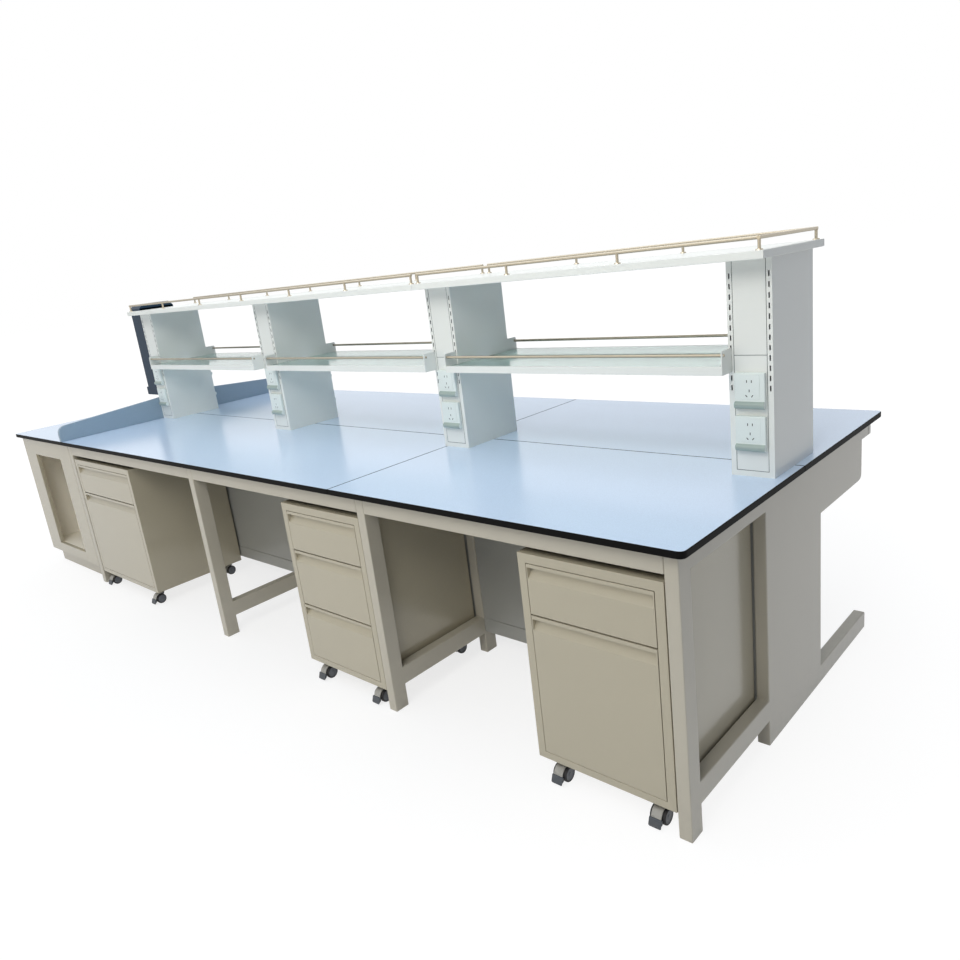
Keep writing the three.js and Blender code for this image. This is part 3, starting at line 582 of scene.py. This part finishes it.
def soft_outline(corners):
    """Points of a closed outline; each corner is (u, v, radius) and is rounded when the radius isn't 0"""
    points = []
    for index, (u, v, radius) in enumerate(corners):
        corner = Vector((u, v))
        if not radius:
            points.append((u, v))
            continue
        before = Vector(corners[index - 1][:2])
        after = Vector(corners[(index + 1) % len(corners)][:2])
        entry = corner + (before - corner).normalized() * radius
        leave = corner + (after - corner).normalized() * radius
        for step in range(CORNER_STEPS + 1):
            t = step / CORNER_STEPS
            points.append(tuple(entry * (1 - t) ** 2 + corner * 2 * t * (1 - t) + leave * t**2))
    return points


def add_prism(bm, outline, low, high, axis="X"):
    """Prism along X from (y, z) points, or along Y from (x, z) points"""
    def corner(u, v, along):
        return (along, u, v) if axis == "X" else (u, along, v)

    near = [bm.verts.new(corner(u, v, low)) for u, v in outline]
    far = [bm.verts.new(corner(u, v, high)) for u, v in outline]
    faces = [bm.faces.new(near), bm.faces.new(far)]
    for index in range(len(outline)):
        after = (index + 1) % len(outline)
        faces.append(bm.faces.new((near[index], near[after], far[after], far[index])))
    bmesh.ops.recalc_face_normals(bm, faces=faces)


def add_lathe(bm, centre, profile, seconds):
    """Body of revolution about X from (radius, x) points; seconds marks the bands in the second finish"""
    rings = []
    for radius, x in profile:
        if radius == 0:
            rings.append([bm.verts.new((centre.x + x, centre.y, centre.z))] * WHEEL_SIDES)
            continue
        ring = []
        for index in range(WHEEL_SIDES):
            around = 2 * math.pi * index / WHEEL_SIDES
            spoke = Vector((x, radius * math.cos(around), radius * math.sin(around)))
            ring.append(bm.verts.new(centre + spoke))
        rings.append(ring)
    faces = []
    for ring, following, second in zip(rings, rings[1:], seconds):
        for index in range(WHEEL_SIDES):
            after = (index + 1) % WHEEL_SIDES
            corners = dict.fromkeys((ring[index], ring[after], following[after], following[index]))
            face = bm.faces.new(list(corners))
            face.material_index = int(second)
            faces.append(face)
    bmesh.ops.recalc_face_normals(bm, faces=faces)


class BENCH_OT_worktop(bpy.types.Operator):
    """Worktop boards: laminate above, black core at the edge"""

    bl_idname = "bench.worktop"
    bl_label = "Worktop boards"

    def execute(self, context):
        paints = ["worktop_laminate", "worktop_core"]
        for half in ("front", "back"):
            for end in ("left", "right"):
                node = f"worktop_{half}_{end}"
                bm = node_copy(node)
                paint_faces(bm, lambda face: face.normal.z <= UPWARD)
                board = f"{node}_board"
                piece = add_piece(board, bm, BENCH, paints, [node], sizes().board_round)
                piece.modifiers["rounded_edges"].material = paints.index("worktop_core")
        return {"FINISHED"}


class BENCH_OT_underframe(bpy.types.Operator):
    """Cross frames, aprons, service ducts, cabinet and splash panels"""

    bl_idname = "bench.underframe"
    bl_label = "Under-frame"

    def execute(self, context):
        size = sizes()
        for name in ("cabinet_side", "left_bay", "right_bay", "right_end"):
            self.dress(f"frame_{name}", "weldment", "ivory_paint", "frame_paint", size.tube_round)
        for bay in ("left", "middle", "right"):
            self.dress(f"front_apron_{bay}", "tube", "ivory_paint", "frame_paint", size.tube_round)
            self.dress(f"service_duct_{bay}", "panel", "duct_paint", "duct_paint", size.sheet_round)
        self.dress("back_apron", "tube", "ivory_paint", "frame_paint", size.tube_round)
        self.cabinet("left_cabinet")
        for side in ("front", "back"):
            panel = f"splash_panel_{side}"
            self.dress(panel, "board", "splash_laminate", "splash_laminate", size.board_round)
        return {"FINISHED"}

    def dress(self, node, label, slot, paint, rounding):
        add_piece(f"{node}_{label}", node_copy(node), BENCH, [paint], [node], rounding)

    def cabinet(self, node):
        """Painted outside and lined inside with cream board, made paler as painted light that fills the
        deep open cabinet
        """
        size = sizes()
        low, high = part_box(node)
        wall = Vector((size.cabinet_wall,) * 3)
        low.z += size.kick_height

        def inside(face):
            centre = face.calc_center_median()
            return all(a < c < b for a, c, b in zip(low + wall, centre, high - wall))

        bm = node_copy(node)
        # Painted light: faces inside the cabinet get a paler cream that stands for light reaching deep
        # into the niche
        paint_faces(bm, inside)
        paints = ["ivory_paint", "cabinet_lit_lining"]
        add_piece(f"{node}_body", bm, BENCH, paints, [node], size.sheet_round)


class BENCH_OT_uprights(bpy.types.Operator):
    """Slotted uprights with their socket housings"""

    bl_idname = "bench.uprights"
    bl_label = "Uprights and sockets"

    def execute(self, context):
        size = sizes()
        for node in UPRIGHTS:
            low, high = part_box(node)
            face_y = high.y - size.socket_proud

            def on_post(face):
                return abs(face.calc_center_median().y) < face_y + HAIR

            def in_seam_shade(face):
                depth = face_y - abs(face.calc_center_median().y)
                return HAIR < depth < size.seam_depth

            post = node_copy(node, on_post)
            # Painted shade: the faces at the bottom of the seams and slots get a dark finish that stands
            # for the shadow inside them
            paint_faces(post, in_seam_shade)
            paints = ["white_paint", "upright_seam_shade"]
            add_shelf_piece(f"{node}_post", post, paints, [node], size.fine_round)
            middle = (low.x + high.x) / 2
            for row in range(SOCKET_LEVELS):
                bottom = low.z + size.socket_rise + row * size.socket_spacing
                for side, label in SIDES:
                    self.socket(f"{node}_socket_{label}_{row + 1}", middle, side, face_y, bottom)
        return {"FINISHED"}

    def socket(self, name, x, side, face_y, bottom):
        """Housing with a rounded lower lip in painted shade, a raised plate and five contact holes shown
        as dark blocks of painted shade
        """
        size = sizes()
        half = size.socket_width / 2
        top = bottom + size.socket_height
        lip_top = bottom + size.socket_lip
        flat = face_y + size.socket_depth
        nose = face_y + size.socket_proud
        outline = soft_outline([
            (face_y - HAIR, top, 0),
            (flat, top, size.socket_round),
            (flat, lip_top, 0),
            (nose, lip_top - size.lip_slope, size.lip_crown),
            (nose, bottom, size.lip_curve),
            (face_y - HAIR, bottom, 0),
        ])
        housing = bmesh.new()
        add_prism(housing, [(side * y, z) for y, z in outline], x - half, x + half)
        # Painted shade: faces below the lip top get a darker grey-green copy of the white moulding, which
        # stands for the shade under the lip
        paint_faces(housing, lambda face: face.calc_center_median().z < lip_top)
        paints = ["socket_moulding", "socket_lip"]
        add_shelf_piece(f"{name}_housing", housing, paints, (), size.socket_round, SMOOTH_STEPS)
        place = Matrix.Translation((x, side * flat, (top + lip_top) / 2))
        plate = bmesh.new()
        across, along = size.plate_width / 2, size.plate_height / 2
        rectangle = [(-across, -along), (across, -along), (across, along), (-across, along)]
        rim = soft_outline([(u, v, size.plate_corner) for u, v in rectangle])
        add_prism(plate, rim, -size.plate_rise, size.plate_rise, "Y")
        bmesh.ops.transform(plate, matrix=place, verts=plate.verts)
        add_shelf_piece(f"{name}_plate", plate, ["socket_moulding"], (), size.fine_round)
        # Painted shade: dark blocks stand on the plate where the contact holes are, in place of the shade
        # inside them
        holes = bmesh.new()
        for dx, dz, turn in CONTACT_HOLES:
            spin = Matrix.Translation((dx, 0, dz)) @ Matrix.Rotation(math.radians(turn), 4, "Y")
            half_hole = Vector((size.contact_width / 2, size.plate_rise + HAIR, size.contact_height / 2))
            verts = add_block(holes, -half_hole, half_hole)
            bmesh.ops.transform(holes, matrix=place @ spin, verts=verts)
        add_shelf_piece(f"{name}_contacts", holes, ["socket_hole_shade"])


class BENCH_OT_top_shelf(bpy.types.Operator):
    """Top shelf trays and their steel guard rails"""

    bl_idname = "bench.top_shelf"
    bl_label = "Top shelf"

    def execute(self, context):
        size = sizes()
        for end in ("left", "right"):
            node = f"top_shelf_{end}"
            low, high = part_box(node)
            deck = low.z + size.shelf_lip

            def on_tray(face):
                return face.calc_center_median().z < deck + HAIR

            tray = node_copy(node, on_tray)
            add_shelf_piece(f"{node}_tray", tray, ["white_paint"], [node], size.sheet_round, USUAL_STEPS)
            self.guard(f"{node}_guard", low, high, deck, end == "right")
        return {"FINISHED"}

    def guard(self, name, low, high, deck, closed):
        """Rail on posts with flanges and clamps, returned across the closed end"""
        size = sizes()
        bm = bmesh.new()
        rail = deck + size.guard_height
        first, last = low.x + size.guard_inset, high.x - size.guard_inset
        near, far = low.y + size.guard_inset, high.y - size.guard_inset
        overrun = size.guard_radius
        steps = max(1, round((last - first) / size.guard_gap))
        flange_end = deck + size.flange_height
        for y in (near, far):
            add_rod(bm, (first - overrun, y, rail), (last + overrun, y, rail), size.guard_radius)
            for index in range(steps + 1):
                x = first + (last - first) * index / steps
                add_rod(bm, (x, y, deck), (x, y, flange_end), size.flange_radius, size.flange_top)
                add_rod(bm, (x, y, deck), (x, y, rail), size.guard_post)
                add_ball(bm, (x, y, rail), size.clamp_radius)
        if closed:
            add_rod(bm, (last, near - overrun, rail), (last, far + overrun, rail), size.guard_radius)
        add_shelf_piece(name, bm, ["guard_steel_warm_reflection"])


class BENCH_OT_hung_shelves(bpy.types.Operator):
    """Hung shelves: folded lip and brackets, pane and guard bar"""

    bl_idname = "bench.hung_shelves"
    bl_label = "Hung shelves"

    def execute(self, context):
        for side, label in SIDES:
            for bay, posts in enumerate(zip(UPRIGHTS, UPRIGHTS[1:]), 1):
                self.shelf(f"hung_shelf_{label}_{bay}", side, *posts)
        return {"FINISHED"}

    def shelf(self, node, side, left_post, right_post):
        """Steel, pane and bar of one shelf between two uprights"""
        size = sizes()
        low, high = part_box(node)
        into = -side
        nose = low.y if side < 0 else high.y
        post_face = side * (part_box(left_post)[1].y - size.socket_proud + HAIR)
        rear = nose + into * size.shelf_depth
        left, right = low.x, high.x
        lip_low = low.z
        lip_high = lip_low + size.lip_height
        pane_low = lip_high - size.pane_thickness - HAIR
        pane_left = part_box(left_post)[1].x + size.pane_play
        pane_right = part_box(right_post)[0].x - size.pane_play
        sheet = size.bracket_thickness
        steel = bmesh.new()

        def slab(x0, x1, y0, y1, z0, z1):
            add_block(steel, (x0, min(y0, y1), z0), (x1, max(y0, y1), z1))

        bearer = size.lip_depth
        slab(left + sheet, right - sheet, nose, nose + into * size.lip_depth, lip_low, lip_high)
        slab(pane_left, pane_right, rear, rear - into * bearer, pane_low - bearer, pane_low)
        slab(pane_left, pane_left + bearer, nose + into * bearer, rear, pane_low - bearer, pane_low)
        slab(pane_right - bearer, pane_right, nose + into * bearer, rear, pane_low - bearer, pane_low)
        outline = soft_outline([
            (nose, low.z, 0),
            (post_face, low.z, 0),
            (post_face, high.z, 0),
            (nose, high.z, size.bracket_round),
        ])
        for x in (left, right - sheet):
            add_prism(steel, outline, x, x + sheet)
        add_shelf_piece(f"{node}_steel", steel, ["white_paint"], [node], size.fine_round)
        pane = bmesh.new()
        pane_near, pane_far = sorted((nose + into * (size.lip_depth + HAIR), rear))
        add_block(pane, (pane_left, pane_near, pane_low), (pane_right, pane_far, lip_high - HAIR))
        add_shelf_piece(f"{node}_pane", pane, ["shelf_glass"], (), size.fine_round)
        bar = bmesh.new()
        bar_y = nose + into * size.bar_inset
        bar_z = high.z - size.bar_drop
        add_rod(bar, (left + HAIR, bar_y, bar_z), (right - HAIR, bar_y, bar_z), size.bar_radius)
        for x, out in ((left, -1), (right, 1)):
            tip = x + out * size.cap_length
            add_rod(bar, (x, bar_y, bar_z), (tip, bar_y, bar_z), size.cap_radius, size.cap_tip)
        add_shelf_piece(f"{node}_bar", bar, ["guard_steel_warm_reflection"])


class BENCH_OT_drip_rack(bpy.types.Operator):
    """Drip rack board, tray and pegs"""

    bl_idname = "bench.drip_rack"
    bl_label = "Drip rack"

    def execute(self, context):
        node = "drip_rack"
        moulding = node_copy(node)
        paints = ["slate_moulding"]
        add_piece(f"{node}_moulding", moulding, BENCH, paints, [node], sizes().mould_round)
        return {"FINISHED"}


class BENCH_OT_pedestals(bpy.types.Operator):
    """Pedestal carcasses, drawers and runners"""

    bl_idname = "bench.pedestals"
    bl_label = "Pedestals and drawers"

    def execute(self, context):
        size = sizes()
        floor = size.castor_height

        def on_carcass(face):
            return face.calc_center_median().z > floor - HAIR

        for name in PEDESTALS:
            node = f"{name}_carcass"
            shell = node_copy(node, on_carcass)
            self.paint_runners(shell, *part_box(node))
            paints = ["ivory_paint", "runner_zinc"]
            add_piece(f"{node}_shell", shell, name, paints, [node], size.sheet_round)
            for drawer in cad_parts:
                if drawer.startswith(f"{name}_drawer_"):
                    box = f"{drawer}_box"
                    bm = node_copy(drawer)
                    add_piece(box, bm, drawer, ["ivory_paint"], [drawer], size.sheet_round)
        return {"FINISHED"}

    def paint_runners(self, bm, low, high):
        """Zinc on the channels that stand on the inner side walls"""
        size = sizes()
        middle = (low.x + high.x) / 2
        half = (high.x - low.x) / 2

        def on_runner(face):
            centre = face.calc_center_median()
            depth = half - abs(centre.x - middle)
            inside = low.y + size.runner_inset < centre.y < high.y - size.runner_inset
            return inside and size.runner_wall < depth < size.runner_reach

        paint_faces(bm, on_runner)


class BENCH_OT_castors(bpy.types.Operator):
    """Twin-wheel castors: body, hood, brake pedal and wheels"""

    bl_idname = "bench.castors"
    bl_label = "Castors"

    def execute(self, context):
        for name in PEDESTALS:
            for hand in ("left", "right"):
                fork = f"{name}_castor_fork_{hand}"
                front_wheel = f"{name}_castor_wheel_{hand}"
                rear_wheel = f"{name}_rear_wheel_{hand}"
                stem = self.middle(fork)
                stem.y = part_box(fork)[1].y - sizes().castor_plate / 2
                self.body(fork, fork, self.middle(front_wheel), stem, (fork,))
                self.pedal(fork, self.middle(front_wheel))
                axle = self.middle(rear_wheel)
                self.body(f"{name}_rear_castor_{hand}", name, axle, axle.copy(), ())
                self.wheels(front_wheel)
                self.wheels(rear_wheel)
        return {"FINISHED"}

    def middle(self, node):
        low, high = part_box(node)
        return (low + high) / 2

    def arc(self, axle, radius, start, end, steps):
        turns = [start + (end - start) * step / steps for step in range(steps + 1)]
        return [(axle.y + radius * math.cos(t), axle.z + radius * math.sin(t)) for t in turns]

    def body(self, name, body, axle, stem, nodes):
        """Web and arched hood under a stem and a mounting disc"""
        size = sizes()
        reach = size.hood_radius
        outer = reach + size.hood_thickness
        top = size.castor_height
        hood = bmesh.new()
        outline = self.arc(axle, outer, size.hood_start, size.hood_end, HOOD_STEPS)
        outline += self.arc(axle, reach, size.hood_end, size.hood_start, HOOD_STEPS)
        add_prism(hood, outline, axle.x - size.hood_width / 2, axle.x + size.hood_width / 2)
        add_piece(f"{name}_hood", hood, body, ["castor_nylon"], nodes, size.hood_round)
        core = bmesh.new()
        boss = size.web_boss
        web = [(axle.y + boss, axle.z - boss), (axle.y - boss, axle.z - boss)]
        web += self.arc(axle, reach, math.pi, math.pi / 2, WEB_STEPS)
        web.append((stem.y + size.web_shoulder, axle.z + outer))
        add_prism(core, web, axle.x - size.web_width / 2, axle.x + size.web_width / 2)
        plate_low = top - size.castor_plate_thickness
        foot = Vector((stem.x, stem.y, axle.z + reach + size.hood_thickness / 2))
        add_rod(core, foot, (stem.x, stem.y, plate_low), size.stem_radius, sides=STEM_SIDES)
        half_plate = size.castor_plate / 2 - size.disc_play
        plate_high = top - 2 * HAIR
        add_rod(core, (*stem.xy, plate_low), (*stem.xy, plate_high), half_plate, sides=DISC_SIDES)
        paints = ["castor_tyre"]
        add_piece(f"{name}_core", core, body, paints, (), size.fine_round, FINE_STEPS)

    def pedal(self, fork, axle):
        """Rounded foot pedal at the lower end of the hood"""
        size = sizes()
        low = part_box(fork)[0]
        root = axle.y - size.hood_radius - size.hood_thickness / 2
        thick = size.pedal_thickness
        outline = soft_outline([
            (root, axle.z + thick, 0),
            (root - thick, axle.z + thick, size.pedal_ease),
            (low.y, low.z + thick, size.pedal_ease),
            (low.y, low.z, size.pedal_ease),
            (low.y + thick, low.z, 0),
            (root, axle.z - size.web_boss, 0),
        ])
        bm = bmesh.new()
        half = size.pedal_width / 2
        add_prism(bm, outline, axle.x - half, axle.x + half)
        tip = low.z + size.pedal_corner
        for vert in bm.verts:
            if vert.co.z < tip:
                reach = (tip - vert.co.z) / size.pedal_corner
                inset = size.pedal_corner * (1 - math.sqrt(1 - min(reach, 1.0) ** 2))
                vert.co.x = axle.x + math.copysign(half - inset, vert.co.x - axle.x)
        add_piece(f"{fork}_pedal", bm, fork, ["brake_pedal"], (), size.pedal_round)

    def wheels(self, node):
        """Two rounded tyres with dished discs and caps, on one axle"""
        size = sizes()
        low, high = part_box(node)
        centre = (low + high) / 2
        radius = (high.z - low.z) / 2
        outer = (high.x - low.x) / 2
        inner = outer - size.wheel_width
        tread = radius - size.tyre_round
        disc = size.hub_radius
        profile = [
            (0.0, outer - size.cap_dish),
            (size.hub_cap, outer - size.cap_dish),
            (size.hub_step, outer - size.hub_dish),
            (size.hub_rim, outer - size.hub_dish),
            (disc, outer),
            (tread, outer),
            (radius - size.tyre_ease, outer - size.tyre_ease),
            (radius, outer - size.tyre_round),
            (radius, inner + size.tyre_round),
            (tread, inner),
            (0.0, inner),
        ]
        on_disc = [edge <= disc and x > inner for edge, x in profile[1:]]
        bm = bmesh.new()
        add_lathe(bm, centre, profile, on_disc)
        add_lathe(bm, centre, [(edge, -x) for edge, x in profile], on_disc)
        half_axle = Vector((inner, 0, 0))
        add_rod(bm, centre - half_axle, centre + half_axle, size.axle_radius)
        add_piece(f"{node}_tyres", bm, node, ["castor_tyre", "castor_hub"], [node])


def background_rays(tree):
    """Socket that puts out 1 where the camera, a mirror or a clear surface looks at the background"""
    path = put(tree, "ShaderNodeLightPath").outputs
    mirrored = maths(tree, "MAXIMUM", path["Is Camera Ray"], path["Is Glossy Ray"])
    return maths(tree, "MAXIMUM", mirrored, path["Is Transmission Ray"])


def show_white(tree, share, plain, white, output):
    """Puts a white shader in the place of the plain one, by a share from 0 to 1"""
    pick = put(tree, "ShaderNodeMixShader", {0: share, 1: plain.outputs[0], 2: white.outputs[0]})
    settle(tree.nodes[output], {"Surface": pick.outputs[0]})


class BENCH_OT_stage(bpy.types.Operator):
    """Pale floor, white surroundings, soft lamps and the camera"""

    bl_idname = "bench.stage"
    bl_label = "Stage"

    def execute(self, context):
        stage = context.scene.bench_stage
        self.floor(stage)
        self.surroundings(stage)
        self.panel(
            "ceiling_panel", stage.ceiling, DAYLIGHT,
            place=(-1.1, -0.9, 4.6), aim=(-0.9, -0.2, 0.0), spread=(8.0, 5.0),
        )
        self.panel(
            "front_panel", stage.key, SOFT,
            place=(2.2, -3.8, 4.2), aim=(0.2, 0.0, 0.7), spread=(2.4, 2.2),
        )
        self.panel(
            "warm_panel", stage.glow, WARM,
            place=(-1.8, -5.2, 1.0), aim=(-0.6, 0.0, 0.5), spread=(5.0, 1.6),
        )
        self.panel(
            "rear_panel", stage.rear, DAYLIGHT,
            place=(0.4, 3.6, 4.4), aim=(0.0, 0.4, 0.4), spread=(4.0, 1.6),
        )
        self.camera(stage)
        context.scene.view_settings.view_transform = "Standard"
        return {"FINISHED"}

    def floor(self, stage):
        """Wide floor that keeps the shadow and turns white away from the bench"""
        bm = bmesh.new()
        bmesh.ops.create_grid(bm, x_segments=1, y_segments=1, size=stage.floor_reach)
        mesh = bpy.data.meshes.new("studio_floor")
        bm.to_mesh(mesh)
        bm.free()
        floor = bpy.data.objects.new("studio_floor", mesh)
        bpy.context.scene.collection.objects.link(floor)
        paint = bpy.data.materials.new("pale_floor")
        paint.use_nodes = True
        tree = paint.node_tree
        shader = tree.nodes["Principled BSDF"]
        settle(shader, {"Base Color": opaque(stage.floor_tone), "Roughness": 0.7})
        white = put(tree, "ShaderNodeEmission", {"Color": WHITE, "Strength": stage.floor_white})
        inputs = {0: own_place(tree)}
        reach = put(tree, "ShaderNodeVectorMath", inputs, operation="LENGTH").outputs["Value"]
        limits = {"From Min": stage.fade_start, "From Max": stage.fade_end, "To Min": stage.fade_least}
        fade = spread_range(tree, {"Value": reach, **limits}, interpolation_type="SMOOTHSTEP")
        share = maths(tree, "MULTIPLY", background_rays(tree), fade)
        show_white(tree, share, shader, white, "Material Output")
        mesh.materials.append(paint)

    def surroundings(self, stage):
        """White to the camera and to glossy and clear surfaces, softer as light"""
        world = bpy.data.worlds.new("white_room")
        bpy.context.scene.world = world
        world.use_nodes = True
        tree = world.node_tree
        light = tree.nodes["Background"]
        settle(light, {"Color": opaque(COOL), "Strength": stage.ambient})
        white = put(tree, "ShaderNodeBackground", {"Color": WHITE, "Strength": 1.0})
        show_white(tree, background_rays(tree), light, white, "World Output")

    def panel(self, name, strength, tint, place, aim, spread):
        """Soft rectangular lamp that the camera doesn't see"""
        data = bpy.data.lights.new(name, "AREA")
        data.shape = "RECTANGLE"
        data.size, data.size_y = spread
        data.energy = strength
        data.color = tint
        lamp = bpy.data.objects.new(name, data)
        lamp.location = place
        lamp.visible_camera = False
        lamp.rotation_euler = (Vector(aim) - Vector(place)).to_track_quat("-Z", "Y").to_euler()
        bpy.context.scene.collection.objects.link(lamp)

    def camera(self, stage):
        data = bpy.data.cameras.new("photograph_view")
        data.sensor_width = stage.sensor
        data.lens = stage.lens
        camera = bpy.data.objects.new("photograph_view", data)
        eye, aim = Vector(stage.eye), Vector(stage.aim)
        look = (aim - eye).to_track_quat("-Z", "Y").to_matrix().to_4x4()
        camera.matrix_world = Matrix.Translation(eye) @ look @ Matrix.Rotation(stage.roll, 4, "Z")
        bpy.context.scene.collection.objects.link(camera)
        bpy.context.scene.camera = camera


class BENCH_PT_sidebar(bpy.types.Panel):
    """Steps, sizes and finishes of the bench"""

    bl_label = "Laboratory bench"
    bl_idname = "BENCH_PT_sidebar"
    bl_space_type = "VIEW_3D"
    bl_region_type = "UI"
    bl_category = "Bench"

    def draw(self, context):
        layout = self.layout
        for operator in OPERATORS:
            layout.operator(operator.bl_idname)
        for label, group in (
            ("Stage", context.scene.bench_stage),
            ("Sizes", context.scene.bench_sizes),
            ("Finishes", context.scene.bench_finishes),
        ):
            box = layout.box()
            box.label(text=label)
            for key in group.__annotations__:
                box.prop(group, key)


OPERATORS = (
    BENCH_OT_stage,
    BENCH_OT_worktop,
    BENCH_OT_underframe,
    BENCH_OT_uprights,
    BENCH_OT_top_shelf,
    BENCH_OT_hung_shelves,
    BENCH_OT_drip_rack,
    BENCH_OT_pedestals,
    BENCH_OT_castors,
)
SETTINGS = {"bench_finishes": BenchFinishes, "bench_sizes": BenchSizes, "bench_stage": BenchStage}


def register():
    for group in SETTINGS.values():
        bpy.utils.register_class(group)
    for name, group in SETTINGS.items():
        setattr(bpy.types.Scene, name, PointerProperty(type=group))
    for operator in OPERATORS:
        bpy.utils.register_class(operator)
    bpy.utils.register_class(BENCH_PT_sidebar)


def unregister():
    bpy.utils.unregister_class(BENCH_PT_sidebar)
    for operator in reversed(OPERATORS):
        bpy.utils.unregister_class(operator)
    for name in SETTINGS:
        delattr(bpy.types.Scene, name)
    for group in reversed(list(SETTINGS.values())):
        bpy.utils.unregister_class(group)


def main():
    register()
    for operator in OPERATORS:
        group, step = operator.bl_idname.split(".")
        getattr(getattr(bpy.ops, group), step)()


if __name__ == "__main__":
    main()
